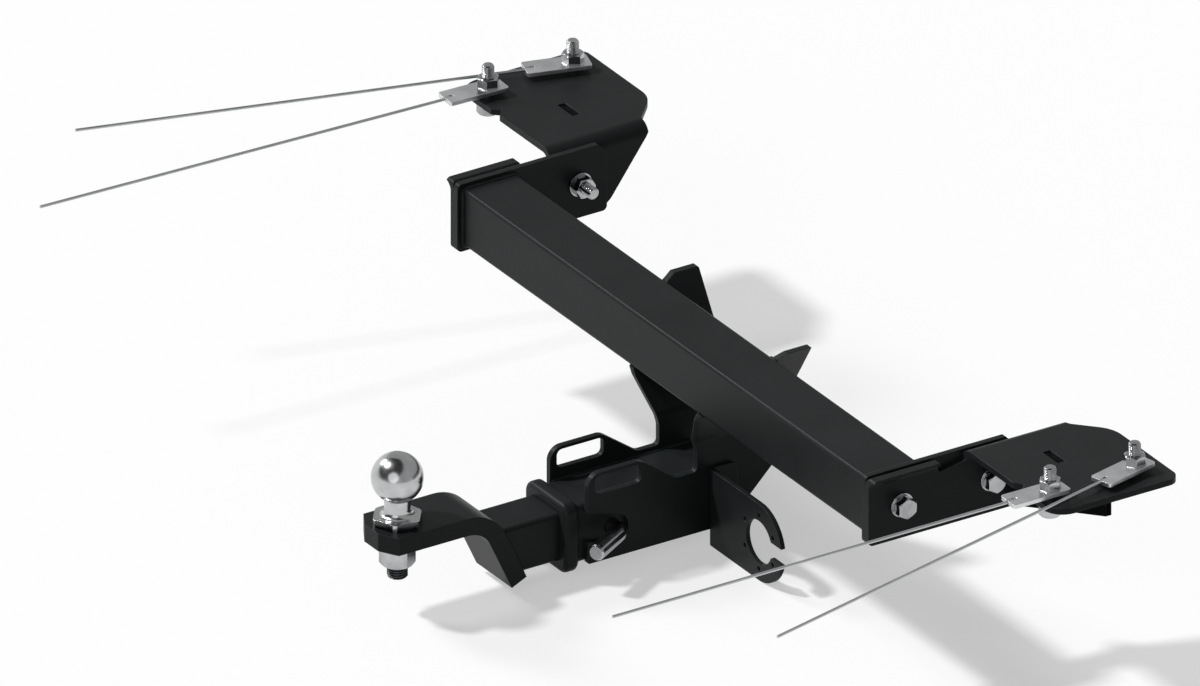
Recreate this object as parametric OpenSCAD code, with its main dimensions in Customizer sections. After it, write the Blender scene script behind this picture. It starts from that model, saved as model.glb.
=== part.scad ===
// Vehicle towbar: a square crossbar on two folded chassis brackets, with a receiver hung on two bent gussets,
// a detachable ball mount held by a hitch pin, and four nut plates with pull wires for the chassis rails.
// X points to the vehicle's right, Y forward and Z up; all lengths are in millimetres.
// The origin is the middle of the four chassis bolts, in the plane of the bracket flanges' top faces.

/* [Crossbar] */
// Outer width and height of the square tube
crossbar_size = 60; // [54:1:66]
// Wall of the square tube
crossbar_wall = 5; // [3:0.5:6]
// Outer corner radius of the square tube
crossbar_corner_r = 4; // [2:0.5:6]
// Length of the tube between the side plates
crossbar_length = 705; // [620:5:800]
// Height of the flanges' top faces over the crossbar's axis
crossbar_drop = 38.7; // [36:0.1:46]
// Distance from the middle of the chassis bolts back to the crossbar's axis
crossbar_setback = 132.5; // [125:0.5:145]

/* [Side plates] */
// Thickness of the side plates
side_plate_t = 6; // [5:0.5:8]
// Height of the side plates and of the brackets' rear part
side_plate_h = 71; // [66:1:76]
// Reach of the side plates behind the crossbar's axis
side_plate_rear = 36; // [32:1:42]
// Reach of the side plates in front of the crossbar's axis
side_plate_front = 130; // [124:1:136]
// Length of the cut at the front top corner
side_plate_cut = 10; // [5:1:14]
// Corner radius of the side plates and brackets
side_plate_r = 5; // [2:1:8]

/* [Chassis brackets] */
// Thickness of the folded brackets
bracket_t = 6; // [5:0.5:7]
// Inner radius of the fold
bracket_fold_r = 8; // [5:0.5:10]
// Reach of the flange behind the rear chassis bolt
flange_rear = 14; // [12:0.5:18]
// Reach of the flange in front of the front chassis bolt
flange_front = 31; // [26:1:36]
// Reach of the flange outside the chassis bolts
flange_side = 31.5; // [28:0.5:36]
// Radius of the flange's rear outer corner
flange_rear_r = 21; // [10:1:24]
// Radius of the flange's front outer corner
flange_front_r = 12; // [6:1:20]
// Radius of the flange's front inner corner
flange_inner_r = 34; // [20:1:40]
// Distance from the web's outer face to the flange's full front edge
flange_shoulder = 40; // [34:1:48]
// Start of the relief notch in the web's top edge, in front of the crossbar's axis
relief_start = 39; // [34:1:44]
// Depth of the relief notch below the web's top edge
relief_depth = 14; // [10:1:16]
// Rise of the relief notch's floor towards the flange
relief_rise = 5; // [2:0.5:7]
// Reach of the web's front edge at the fold, in front of the crossbar's axis
web_front = 180.5; // [174:0.5:188]
// Reach of the web's bottom edge before its slanted front, in front of the crossbar's axis
web_bottom_front = 133; // [128:1:142]
// Radius where the bottom edge turns into the slanted front
web_toe_r = 22; // [8:1:30]
// Width across the vehicle of the rib's slot in the flange
rib_slot_l = 27; // [22:1:32]
// Width along the vehicle of the rib's slot in the flange
rib_slot_w = 8.5; // [7.5:0.5:10]
// Distance from the web's outer face to the middle of the rib's slot
rib_slot_x = 58.5; // [50:0.5:66]
// Size of the small notch in the flange's rear edge
edge_notch = 7.5; // [4:0.5:9]
// Distance from the web's outer face to the small notch
edge_notch_x = 91; // [82:1:96]

/* [Bracket ribs] */
// Thickness of the ribs
rib_t = 6; // [5:0.5:7]
// Distance of a rib's middle plane behind the middle of the chassis bolts
rib_setback = 1; // [0.5:0.1:1]
// Height of a rib at its outer end
rib_tip_h = 14; // [8:1:20]
// Distance from the flange's outer edge to a rib's outer end
rib_inset = 1.5; // [0.5:0.5:6]
// Height of the tab that stands in the flange's slot
rib_tab_h = 4; // [2:0.5:4.5]

/* [Chassis bolts] */
// Distance between the left and right chassis bolts
rail_bolt_span = 980; // [940:5:1020]
// Distance between the front and rear chassis bolts
rail_bolt_pitch = 94; // [88:1:100]
// Wall of the chassis rail that the nut plates clamp
rail_wall = 4.8; // [3:0.1:6]
// Length of the chassis bolts under their heads
rail_bolt_l = 40; // [38:1:45]

/* [Nut plates] */
// Width of a nut plate
nut_plate_w = 25; // [22:1:30]
// Thickness of a nut plate
nut_plate_t = 4; // [3:0.5:5]
// Reach of a nut plate in front of its bolt
nut_plate_front = 16; // [13:0.5:20]
// Reach of a nut plate behind its bolt
nut_plate_rear = 47.5; // [40:0.5:55]
// Width of the notch that holds the wire
wire_notch_w = 4; // [3.6:0.2:5]
// Depth of the notch that holds the wire
wire_notch_l = 10; // [6:1:14]
// Diameter of the pull wires
wire_d = 3; // [2:0.2:3.4]
// Corner radius of the nut plates
nut_plate_r = 3; // [1:0.5:6]
// Length of the pull wires
wire_l = 448; // [380:2:520]
// Angle by which the right front nut plate points outwards
right_front_angle = 14; // [14:0.2:18]
// Angle by which the left front nut plate points outwards
left_front_angle = 16; // [14:0.2:18]
// Angle by which the right rear nut plate points outwards
right_rear_angle = 0; // [0:0.2:4]
// Angle by which the left rear nut plate points outwards
left_rear_angle = 2.2; // [0:0.2:4]

/* [Receiver] */
// Wall of the receiver tube
receiver_wall = 4.6; // [4:0.1:6.5]
// Drop of the receiver's axis below the crossbar's axis
receiver_drop = 137.3; // [132:0.1:144]
// Reach of the receiver behind the crossbar's axis
receiver_rear = 163.2; // [156:0.2:170]
// Reach of the receiver in front of the crossbar's axis
receiver_front = 18; // [12:1:24]
// Outer corner radius of the receiver tube
receiver_corner_r = 6; // [4:0.5:8]
// Wall of the reinforcing collar round the receiver's mouth
collar_wall = 6.6; // [5:0.2:8]
// Length of the reinforcing collar
collar_l = 15.5; // [12:0.5:18]
// Outer corner radius of the reinforcing collar
collar_corner_r = 12; // [9:0.5:14]

/* [Gussets] */
// Thickness of the gussets
gusset_t = 6; // [5:0.5:7]
// Inner radius of the gussets' bend
gusset_bend_r = 6; // [4:0.5:8]
// Lean of the upper part away from the vertical
gusset_lean = 32; // [28:0.5:36]
// Drop of the bend and of the ear's top below the crossbar's axis
gusset_bend_drop = 74.4; // [70:0.2:78]
// Reach of the ear behind the crossbar's axis
ear_rear = 138.5; // [134:0.5:142]
// Radius of the ear's rear top corner
ear_r = 14; // [8:1:18]
// Length of the ear's level top edge
ear_top_l = 58; // [50:1:64]
// Drop of the saddle between ear and crossbar below the crossbar's axis
saddle_drop = 103; // [98:1:106]
// Distance of the saddle's rear end behind the crossbar's axis
saddle_rear = 41.3; // [38:0.1:46]
// Distance of the saddle's front end behind the crossbar's axis
saddle_front = 17.3; // [14:0.1:20]
// Reach of the gussets in front of the crossbar's axis
gusset_front = 68; // [64:1:74]
// Height of the gussets' top edge over the crossbar's axis
gusset_top = 33.6; // [31:0.2:36]
// Length of the sloped cut at the front bottom corner
gusset_toe = 51; // [44:1:56]
// Length of the safety chain slot
chain_slot_l = 52; // [44:1:54]
// Height of the safety chain slot
chain_slot_h = 19; // [16:0.5:20]
// Material left over the safety chain slot
chain_slot_edge = 3.4; // [3:0.2:5]
// Distance from the ear's rear edge to the safety chain slot
chain_slot_rear = 7.5; // [6:0.5:9]
// Corner radius of the safety chain slot
chain_slot_r = 6; // [4:0.5:8]
// Radius of the open cut round the hitch pin
pin_cut_r = 14.5; // [12:0.5:15]
// Rise of the open cut towards the rear
pin_cut_angle = 15; // [10:1:20]

/* [Socket plate] */
// Thickness of the socket plate
socket_plate_t = 4.5; // [3:0.5:5]
// Distance of the socket plate's rear face behind the crossbar's axis
socket_plate_rear = 5.8; // [3:0.2:9]
// Radius of the socket plate's round end
socket_end_r = 40; // [38:0.5:44]
// Distance from the gusset's outer face to the round end's centre
socket_x = 89.5; // [82:0.5:98]
// Drop of the round end's centre below the crossbar's axis
socket_drop = 141.5; // [138:0.5:146]
// Diameter of the socket's hole
socket_hole_d = 44.6; // [42:0.2:47]
// Diameter of the circle through the small holes
socket_pcd = 56; // [54:0.5:59]
// Diameter of the small holes
socket_bolt_hole_d = 5.5; // [4.5:0.1:6]
// Width of the cable slot from the hole to the plate's edge
cable_slot_w = 17; // [12:0.5:20]
// Length of the flange on the gusset
socket_flange_l = 31; // [24:1:38]
// Corner radius of the flange on the gusset
socket_flange_r = 8; // [4:1:10]
// Inner radius of the socket plate's fold
socket_fold_r = 1.5; // [1:0.5:3]

/* [Ball mount] */
// Width of the tongue
tongue_w = 62; // [56:1:66]
// Thickness of the tongue
tongue_t = 18; // [14:0.5:20]
// Drop of the tongue's top face below the crossbar's axis
tongue_drop = 86; // [82:0.5:90]
// Distance from the ball's centre back to the tongue's rear end
tongue_rear = 29; // [27:0.5:34]
// Width of the tongue's flat rear end
tongue_nose_w = 24; // [18:1:36]
// Length of the tongue's chamfered corners
tongue_nose_l = 11; // [7:0.5:14]
// Distance from the ball's centre forward to the bend
tongue_flat = 59; // [52:1:66]
// Inner radius of the tongue's bend
tongue_bend_r = 27; // [22:1:30]
// Bend of the tongue below the level
tongue_bend_angle = 65.3; // [60:0.1:70]
// Length of the tongue's leg after the bend
tongue_leg = 57.5; // [54:0.5:62]
// Width and height of the shank
shank_size = 50; // [48:0.2:50]
// Corner radius of the shank
shank_corner_r = 4.5; // [3:0.5:6]
// Wall of the hollow shank
shank_wall = 8; // [6:0.5:10]
// Reach of the shank in front of the hitch pin
shank_front = 63; // [50:1:75]
// Gap between shank and receiver on each side
shank_gap = 0.4; // [0.2:0.1:1]

/* [Tow ball] */
// Distance of the ball's centre behind the crossbar's axis
ball_setback = 327.1; // [320:0.1:336]
// Diameter of the ball
ball_d = 50; // [48:0.5:52]
// Height of the ball's centre over the tongue's top face
ball_h = 46.8; // [42:0.2:50]
// Diameter of the flat on the ball's top
ball_flat_d = 14; // [10:1:18]
// Diameter of the neck
neck_d = 25; // [22:0.5:28]
// Radius between neck and collar
neck_fillet_r = 8; // [4:0.5:9]
// Width across the flats of the hexagon collar that sits on the tongue
ball_collar_af = 43; // [41:0.5:46]
// Height of the hexagon collar
ball_collar_h = 6.4; // [5:0.2:8]
// Turn of the hexagon collar
ball_collar_turn = 22.5; // [0:0.5:60]
// Diameter of the threaded stud
stud_d = 20; // [18:0.5:22]
// Length of the stud under the collar
stud_l = 57; // [50:1:62]
// Width across the flats of the ball's nut
ball_nut_af = 30; // [28:0.5:32]
// Height of the ball's nut
ball_nut_h = 20; // [16:0.5:22]
// Thickness of the spring washer
spring_washer_t = 5.5; // [4:0.5:6]
// Outer diameter of the spring washer
spring_washer_d = 33; // [31:0.5:36]
// Width of the split in the spring washer
spring_washer_split = 3; // [2:0.5:4]

/* [Hitch pin] */
// Diameter of the hitch pin
pin_d = 16; // [14:0.5:16.5]
// Gap between the pin and its holes, on each side
pin_gap = 0.3; // [0.2:0.05:0.4]
// Distance of the pin behind the crossbar's axis
pin_setback = 108; // [105:0.5:111]
// Distance from the gusset's outer face to the middle of the bent handle
pin_bend_x = 9; // [8.5:0.1:12]
// Length of the bent handle from the pin's axis
pin_handle_l = 28; // [20:1:60]
// Angle of the handle below the level, towards the rear
pin_handle_angle = 36; // [0:1:45]
// Reach of the pin past the gusset on the clip's side
pin_tail = 16; // [13:0.5:22]
// Play of the pin between its handle and its clip
pin_play = 6; // [3:0.5:7]
// Diameter of the clip's wire
clip_wire_d = 3; // [2.5:0.1:3.4]
// Length of the clip's straight leg from the pin's axis to its loop
clip_leg = 26; // [20:1:34]

/* [Bolts and nuts] */
// Diameter of the bolts
bolt_d = 12; // [10:0.5:14]
// Width across the flats of heads and nuts
hex_af = 19; // [17:0.5:21]
// Height of the bolt heads
head_h = 7.5; // [6:0.5:9]
// Height of the nuts
nut_h = 10; // [8:0.5:11]
// Outer diameter of the washers
washer_d = 24; // [21.5:0.5:26]
// Thickness of the washers
washer_t = 2.5; // [1.5:0.1:3]
// Gap between a bolt and the holes it passes, on each side
hole_gap = 0.5; // [0.3:0.1:1]
// Gap between a bolt and its nut, on each side
nut_gap = 0.05; // [0.02:0.01:0.08]
// Length of the side bolts under their heads
side_bolt_l = 35; // [32:1:40]
// Distance between the side bolts
side_bolt_pitch = 99.5; // [92:0.5:106]

/* [Hidden] */
$fn = 96;

// Black coating, and the two zinc finishes
coat = [0.10, 0.10, 0.105];
zinc = [0.68, 0.69, 0.70];
steel_wire = [0.55, 0.56, 0.57];
bright = [0.85, 0.86, 0.87];

// Straight steps along each rounded corner of an outline
arc_steps = 8;
// Straight steps along each bend of a bent plate
bend_steps = 16;
// Margin by which cutting shapes run past the faces they cut
over = 5;
// Slope of the chamfer on hexagon heads, as radius lost for each length
hex_slope = tan(60);
// Share of the flats' width that the chamfer leaves round, on bolts and nuts and on the ball's collar
hex_face = 0.47;
collar_face = 0.535;
// Chamfer on the ends of studs and pins
tip_chamfer = 1.5;
// Slant of the spring washer's split
spring_washer_slant = 25;
half_turn = 180;
// Share of an edge's length that a rounded corner may take up
corner_share = 0.49;
// Radius of corners that are only broken
small_r = 2;
// Ramp at the relief notch's rear end
relief_ramp = 3;
// Radius between the flange's front edge and the fold
flange_neck_r = 8;
// Gap between a rib and the bracket's fold
rib_fold_gap = 0.5;
// Gap between a rib's tab and each end of its slot
rib_tab_gap = 1;
// Width of a rib's foot
rib_foot_l = 4;
// Radius of the hollow between ear and saddle
ear_front_r = 15;
// Radius of the saddle's rear end
saddle_rear_r = 10;
// Radius of the saddle's front end
saddle_front_r = 5;
// Height of the straight edge at the saddle's front end
saddle_rise = 21;
// Drop below the crossbar's bottom edge at which a gusset's edge turns towards it
crossbar_neck = 7;
// Radius of a gusset's edge under the crossbar
crossbar_neck_r = 14;
// Length and height of the sloped cut at a gusset's rear top corner
top_cut_l = 11;
top_cut_h = 5.6;
// Radius of the corners of a gusset's front bottom cut
gusset_toe_r = 3;
// Angle over which the spring clip's bent leg hugs the pin
hug_angle = 50;

crossbar_half = crossbar_size / 2;
side_plate_x = crossbar_length / 2;
web_x = side_plate_x + side_plate_t;
web_outer_x = web_x + bracket_t;
web_half_h = side_plate_h / 2;
fold_outer_r = bracket_fold_r + bracket_t;
fold_x = web_x + fold_outer_r;
fold_z = crossbar_drop - fold_outer_r;
flange_bottom_z = crossbar_drop - bracket_t;
rail_bolt_x = rail_bolt_span / 2;
rear_bolt_y = crossbar_setback - rail_bolt_pitch / 2;
front_bolt_y = crossbar_setback + rail_bolt_pitch / 2;
flange_outer_x = rail_bolt_x + flange_side;
flange_rear_y = rear_bolt_y - flange_rear;
flange_front_y = front_bolt_y + flange_front;
nut_plate_z = crossbar_drop + rail_wall;
hole_d = bolt_d + 2 * hole_gap;
nut_hole_d = bolt_d + 2 * nut_gap;
rib_y = crossbar_setback - rib_setback;

receiver_inner = shank_size + 2 * shank_gap;
receiver_size = receiver_inner + 2 * receiver_wall;
gusset_x = receiver_size / 2;
gusset_outer_x = gusset_x + gusset_t;
gusset_bottom = receiver_drop + receiver_size / 2;
pin_hole_d = pin_d + 2 * pin_gap;
clip_x = gusset_outer_x + pin_play + clip_wire_d / 2;

tongue_rear_y = -ball_setback - tongue_rear;
tongue_bend_y = -ball_setback + tongue_flat;
tongue_bend_z = -tongue_drop - tongue_t - tongue_bend_r;
tongue_bend_outer_r = tongue_bend_r + tongue_t;
ball_z = ball_h - tongue_drop;
spring_washer_z = -tongue_drop - tongue_t - spring_washer_t;
ball_nut_z = spring_washer_z - ball_nut_h;

function unit(v) = v / norm(v);
function flat(p) = [p.x, p.y];

// Points of one corner, rounded by its third number and limited by its two edges
function corner(a, b, c) =
    let (
        u = unit(flat(a) - flat(b)),
        v = unit(flat(c) - flat(b)),
        half = acos(u * v) / 2,
        room = corner_share * min(norm(flat(a) - flat(b)), norm(flat(c) - flat(b))),
        reach = min(b.z / tan(half), room),
        r = reach * tan(half),
        centre = flat(b) + unit(u + v) * r / sin(half),
        start = flat(b) + u * reach - centre,
        end = flat(b) + v * reach - centre,
        from = atan2(start.y, start.x),
        turn = (atan2(end.y, end.x) - from + 3 * half_turn) % (2 * half_turn) - half_turn
    )
    b.z == 0 ? [flat(b)] : [
        for (i = [0 : arc_steps])
            let (a = from + turn * i / arc_steps) centre + r * [cos(a), sin(a)]
    ];

// Outline whose corners are given as [x, y, radius]
function rounded(p) = [
    for (i = [0 : len(p) - 1])
        each corner(p[(i + len(p) - 1) % len(p)], p[i], p[(i + 1) % len(p)])
];

// Points along an arc, from one angle to another
function arc(centre, r, from, to) = [
    for (i = [0 : bend_steps])
        let (a = from + (to - from) * i / bend_steps) centre + r * [cos(a), sin(a)]
];

// Extrusion of an outline in Y and Z along X
module along_x(from, to) {
    translate([from, 0, 0]) rotate([90, 0, 90]) linear_extrude(to - from) children();
}

// Extrusion of an outline in X and Z along Y
module along_y(from, to) {
    translate([0, to, 0]) rotate([90, 0, 0]) linear_extrude(to - from) children();
}

// Extrusion of an outline in X and Y along Z
module along_z(from, to) {
    translate([0, 0, from]) linear_extrude(to - from) children();
}

// Moves a piece drawn round the crossbar's axis into the part's own frame
module placed() {
    translate([0, -crossbar_setback, -crossbar_drop]) children();
}

// Right side as drawn, left side mirrored
module on_side(side) {
    mirror([side < 0 ? 1 : 0, 0, 0]) children();
}

// Square with round corners, centred
module round_square(size, r) {
    square([size, size - 2 * r], center = true);
    square([size - 2 * r, size], center = true);
    for (x = [-1, 1], y = [-1, 1])
        translate([x, y] * (size / 2 - r)) circle(r);
}

// Section of a square tube
module tube_section(size, wall, r) {
    difference() {
        round_square(size, r);
        round_square(size - 2 * wall, max(r - wall, 1));
    }
}

// Quarter of a ring, from the direction of +X round to +Y
module ring_quarter(inner_r, outer_r) {
    intersection() {
        difference() {
            circle(outer_r);
            circle(inner_r);
        }
        square(outer_r);
    }
}

// Hexagon with its upper corners turned off
module hexagon(af, h, face = hex_face) {
    intersection() {
        cylinder(h = h, d = af / cos(30), $fn = 6);
        cylinder(h = h, r1 = face * af + hex_slope * h, r2 = face * af);
    }
}

// Bolt with its head's underside at the origin and its shank along -Z
module hex_bolt(l) {
    hexagon(hex_af, head_h);
    translate([0, 0, -l + tip_chamfer]) cylinder(h = l - tip_chamfer, d = bolt_d);
    translate([0, 0, -l]) cylinder(h = tip_chamfer, d1 = bolt_d - 2 * tip_chamfer, d2 = bolt_d);
}

module nut(af, h, hole) {
    difference() {
        hexagon(af, h);
        translate([0, 0, -over]) cylinder(h = h + 2 * over, d = hole);
    }
}

module washer(outer, hole, t) {
    difference() {
        cylinder(h = t, d = outer);
        translate([0, 0, -over]) cylinder(h = t + 2 * over, d = hole);
    }
}

// Bore along X through everything between two places
module bore_x(from, to, y, z, d) {
    translate([from, y, z]) rotate([0, 90, 0]) cylinder(h = to - from, d = d);
}

// The two side bolts' places, each with +Z turned to point outwards
module at_side_bolts(x) {
    for (y = [0, side_bolt_pitch])
        translate([x, y, 0]) rotate([0, 90, 0]) rotate(90) children();
}

// The two chassis bolts' places on one side
module at_rail_bolts(z) {
    for (y = [rear_bolt_y, front_bolt_y])
        translate([rail_bolt_x, y, z]) children();
}

module crossbar() {
    color(coat) placed()
        along_x(-side_plate_x, side_plate_x) tube_section(crossbar_size, crossbar_wall, crossbar_corner_r);
}

module side_plate_outline() {
    polygon(rounded([
        [-side_plate_rear, -web_half_h, side_plate_r],
        [side_plate_front, -web_half_h, side_plate_r],
        [side_plate_front, web_half_h - side_plate_cut, 0],
        [side_plate_front - side_plate_cut, web_half_h, 0],
        [-side_plate_rear, web_half_h, side_plate_r]
    ]));
}

module side_plate(side) {
    color(coat) placed() on_side(side)
        difference() {
            along_x(side_plate_x, web_x) side_plate_outline();
            at_side_bolts(side_plate_x - over) cylinder(h = side_plate_t + 2 * over, d = hole_d);
        }
}

// Section of the bracket in X and Z: web, fold and flange
module bracket_section() {
    translate([web_x, -web_half_h]) square([bracket_t, fold_z + web_half_h]);
    translate([fold_x, fold_z]) mirror([1, 0]) ring_quarter(bracket_fold_r, fold_outer_r);
    translate([fold_x, flange_bottom_z]) square([flange_outer_x - fold_x, bracket_t]);
}

// Outline of the bracket seen from the side, in Y and Z
module bracket_side_outline() {
    floor_z = web_half_h - relief_depth;
    polygon(rounded([
        [-side_plate_rear, -web_half_h, side_plate_r],
        [web_bottom_front, -web_half_h, web_toe_r],
        [web_front, fold_z + over, 0],
        [flange_front_y, fold_z + over, 0],
        [flange_front_y, crossbar_drop + over, 0],
        [flange_rear_y, crossbar_drop + over, 0],
        [flange_rear_y, floor_z + relief_rise, small_r],
        [relief_start + relief_ramp, floor_z, relief_ramp],
        [relief_start, web_half_h, small_r],
        [-side_plate_rear, web_half_h, side_plate_r]
    ]));
}

// Outline of the bracket seen from above, in X and Y
module bracket_plan_outline() {
    notch_x = web_outer_x + edge_notch_x;
    polygon(rounded([
        [web_x - over, -side_plate_rear - over, 0],
        [fold_x, -side_plate_rear - over, 0],
        [fold_x, flange_rear_y, 0],
        [notch_x - edge_notch, flange_rear_y, small_r],
        [notch_x, flange_rear_y + edge_notch, small_r],
        [notch_x + edge_notch, flange_rear_y, small_r],
        [flange_outer_x, flange_rear_y, flange_rear_r],
        [flange_outer_x, flange_front_y, flange_front_r],
        [web_outer_x + flange_shoulder, flange_front_y, flange_inner_r],
        [fold_x, web_front, flange_neck_r],
        [web_x - over, web_front, 0]
    ]));
}

module chassis_bracket(side) {
    color(coat) placed() on_side(side)
        difference() {
            intersection() {
                along_y(-side_plate_rear, flange_front_y) bracket_section();
                along_x(web_x - over, flange_outer_x + over) bracket_side_outline();
                along_z(-web_half_h - over, crossbar_drop + over) bracket_plan_outline();
            }
            at_side_bolts(web_x - over) cylinder(h = bracket_t + 2 * over, d = hole_d);
            at_rail_bolts(flange_bottom_z - over) cylinder(h = bracket_t + 2 * over, d = hole_d);
            translate([web_outer_x + rib_slot_x, crossbar_setback, crossbar_drop])
                cube([rib_slot_l, rib_slot_w, 2 * (bracket_t + over)], center = true);
        }
}

// Rib under the flange, cut clear of the fold, with a tab in the flange's slot
module bracket_rib(side) {
    tip_x = flange_outer_x - rib_inset;
    fold_cut = bracket_fold_r + rib_fold_gap;
    tab_l = rib_slot_l - 2 * rib_tab_gap;
    tab_x = web_outer_x + rib_slot_x;
    color(coat) placed() on_side(side)
        along_y(rib_y - rib_t / 2, rib_y + rib_t / 2)
            polygon([
                [web_outer_x, -web_half_h],
                [web_outer_x + rib_foot_l, -web_half_h],
                [tip_x, flange_bottom_z - rib_tip_h],
                [tip_x, flange_bottom_z],
                [tab_x + tab_l / 2, flange_bottom_z],
                [tab_x + tab_l / 2, flange_bottom_z + rib_tab_h],
                [tab_x - tab_l / 2, flange_bottom_z + rib_tab_h],
                [tab_x - tab_l / 2, flange_bottom_z],
                [web_outer_x + fold_cut, flange_bottom_z],
                [web_outer_x, flange_bottom_z - fold_cut]
            ]);
}

// Section of the receiver's hole, which the shank fits
module receiver_bore() {
    round_square(receiver_inner, shank_corner_r);
}

module receiver_tube() {
    color(coat) placed()
        difference() {
            along_y(-receiver_rear, receiver_front)
                translate([0, -receiver_drop])
                    difference() {
                        round_square(receiver_size, receiver_corner_r);
                        receiver_bore();
                    }
            bore_x(-receiver_size, receiver_size, -pin_setback, -receiver_drop, pin_hole_d);
        }
}

module receiver_collar() {
    color(coat) placed()
        along_y(-receiver_rear, -receiver_rear + collar_l)
            translate([0, -receiver_drop])
                difference() {
                    round_square(receiver_size + 2 * collar_wall, collar_corner_r);
                    round_square(receiver_size, receiver_corner_r);
                }
}

// Section of a gusset in X and Z: upright part, bend and leaning part
module gusset_section() {
    outer_r = gusset_bend_r + gusset_t;
    centre = [gusset_x + outer_r, -gusset_bend_drop];
    lean_end = half_turn - gusset_lean;
    lean_reach = 2 * (gusset_bend_drop + gusset_top) * [sin(gusset_lean), cos(gusset_lean)];
    polygon([
        [gusset_x, -gusset_bottom],
        each arc(centre, outer_r, half_turn, lean_end),
        centre + outer_r * [cos(lean_end), sin(lean_end)] + lean_reach,
        centre + gusset_bend_r * [cos(lean_end), sin(lean_end)] + lean_reach,
        each arc(centre, gusset_bend_r, lean_end, half_turn),
        [gusset_outer_x, -gusset_bottom]
    ]);
}

// Outline of a gusset seen from the side, in Y and Z
module gusset_outline() {
    polygon(rounded([
        [-ear_rear, -gusset_bottom, small_r],
        [-ear_rear, -gusset_bend_drop, ear_r],
        [-ear_rear + ear_top_l, -gusset_bend_drop, ear_front_r],
        [-saddle_rear, -saddle_drop, saddle_rear_r],
        [-saddle_front, -saddle_drop, saddle_front_r],
        [-saddle_front, -saddle_drop + saddle_rise, crossbar_neck_r],
        [-crossbar_half, -crossbar_half - crossbar_neck, crossbar_neck_r],
        [-crossbar_half, -crossbar_half, 0],
        [crossbar_half, -crossbar_half, 0],
        [crossbar_half, gusset_top - top_cut_h, 0],
        [crossbar_half + top_cut_l, gusset_top, 0],
        [gusset_front, gusset_top, small_r],
        [gusset_front, -gusset_bottom + gusset_toe, gusset_toe_r],
        [gusset_front - gusset_toe, -gusset_bottom, gusset_toe_r]
    ]));
}

// Slot for a safety chain's shackle
module chain_slot() {
    rear_y = -ear_rear + chain_slot_rear;
    top_z = -gusset_bend_drop - chain_slot_edge;
    polygon(rounded([
        [rear_y, top_z - chain_slot_h, chain_slot_r],
        [rear_y + chain_slot_l, top_z - chain_slot_h, chain_slot_r],
        [rear_y + chain_slot_l, top_z, chain_slot_r],
        [rear_y, top_z, chain_slot_r]
    ]));
}

// Cut round the hitch pin, open to the rear
module pin_cut() {
    translate([-pin_setback, -receiver_drop]) rotate(-pin_cut_angle) {
        circle(pin_cut_r);
        translate([-ear_rear, -pin_cut_r]) square([ear_rear, 2 * pin_cut_r]);
    }
}

module gusset(side) {
    far_x = gusset_outer_x + 2 * (gusset_bend_drop + gusset_top);
    color(coat) placed() on_side(side)
        intersection() {
            along_y(-ear_rear - over, gusset_front + over) gusset_section();
            along_x(gusset_x - over, far_x)
                difference() {
                    gusset_outline();
                    chain_slot();
                    pin_cut();
                }
        }
}

// Socket plate seen from the rear, in X and Z
module socket_outline() {
    end_x = gusset_outer_x + socket_x;
    difference() {
        union() {
            translate([end_x, -socket_drop]) circle(socket_end_r);
            translate([gusset_outer_x, -socket_drop - socket_end_r]) square([socket_x, 2 * socket_end_r]);
        }
        translate([end_x, -socket_drop]) {
            circle(d = socket_hole_d);
            translate([0, -cable_slot_w / 2]) square([socket_end_r + over, cable_slot_w]);
            for (i = [0 : 5])
                rotate(30 + 60 * i) translate([socket_pcd / 2, 0]) circle(d = socket_bolt_hole_d);
        }
    }
}

// Section of the socket plate in X and Y: flange on the gusset, fold and plate
module socket_section() {
    outer_r = socket_fold_r + socket_plate_t;
    rear_y = -socket_plate_rear;
    translate([gusset_outer_x + outer_r, rear_y]) square([socket_x + socket_end_r, socket_plate_t]);
    translate([gusset_outer_x, rear_y + outer_r]) square([socket_plate_t, socket_flange_l - outer_r]);
    translate([gusset_outer_x + outer_r, rear_y + outer_r]) rotate(180) ring_quarter(socket_fold_r, outer_r);
}

module socket_plate() {
    bottom_z = -socket_drop - socket_end_r;
    top_z = -socket_drop + socket_end_r;
    front_y = -socket_plate_rear + socket_flange_l;
    color(coat) placed()
        intersection() {
            along_z(bottom_z, top_z) socket_section();
            along_y(-socket_plate_rear - over, front_y + over) socket_outline();
            along_x(gusset_outer_x - over, gusset_outer_x + socket_x + socket_end_r + over)
                polygon(rounded([
                    [-socket_plate_rear - over, bottom_z, 0],
                    [front_y, bottom_z, socket_flange_r],
                    [front_y, top_z, socket_flange_r],
                    [-socket_plate_rear - over, top_z, 0]
                ]));
        }
}

// Tongue seen from the side, in Y and Z: level part, bend and leg
module tongue_side() {
    centre = [tongue_bend_y, tongue_bend_z];
    bend_end = 90 - tongue_bend_angle;
    leg_reach = tongue_leg * [cos(tongue_bend_angle), -sin(tongue_bend_angle)];
    polygon([
        [tongue_rear_y, -tongue_drop],
        each arc(centre, tongue_bend_outer_r, 90, bend_end),
        centre + tongue_bend_outer_r * [cos(bend_end), sin(bend_end)] + leg_reach,
        centre + tongue_bend_r * [cos(bend_end), sin(bend_end)] + leg_reach,
        each arc(centre, tongue_bend_r, bend_end, 90),
        [tongue_rear_y, -tongue_drop - tongue_t]
    ]);
}

// Tongue seen from above, in X and Y
module tongue_plan() {
    front_y = tongue_bend_y + tongue_bend_outer_r + tongue_leg;
    polygon([
        [-tongue_nose_w / 2, tongue_rear_y],
        [tongue_nose_w / 2, tongue_rear_y],
        [tongue_w / 2, tongue_rear_y + tongue_nose_l],
        [tongue_w / 2, front_y],
        [-tongue_w / 2, front_y],
        [-tongue_w / 2, tongue_rear_y + tongue_nose_l]
    ]);
}

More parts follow.
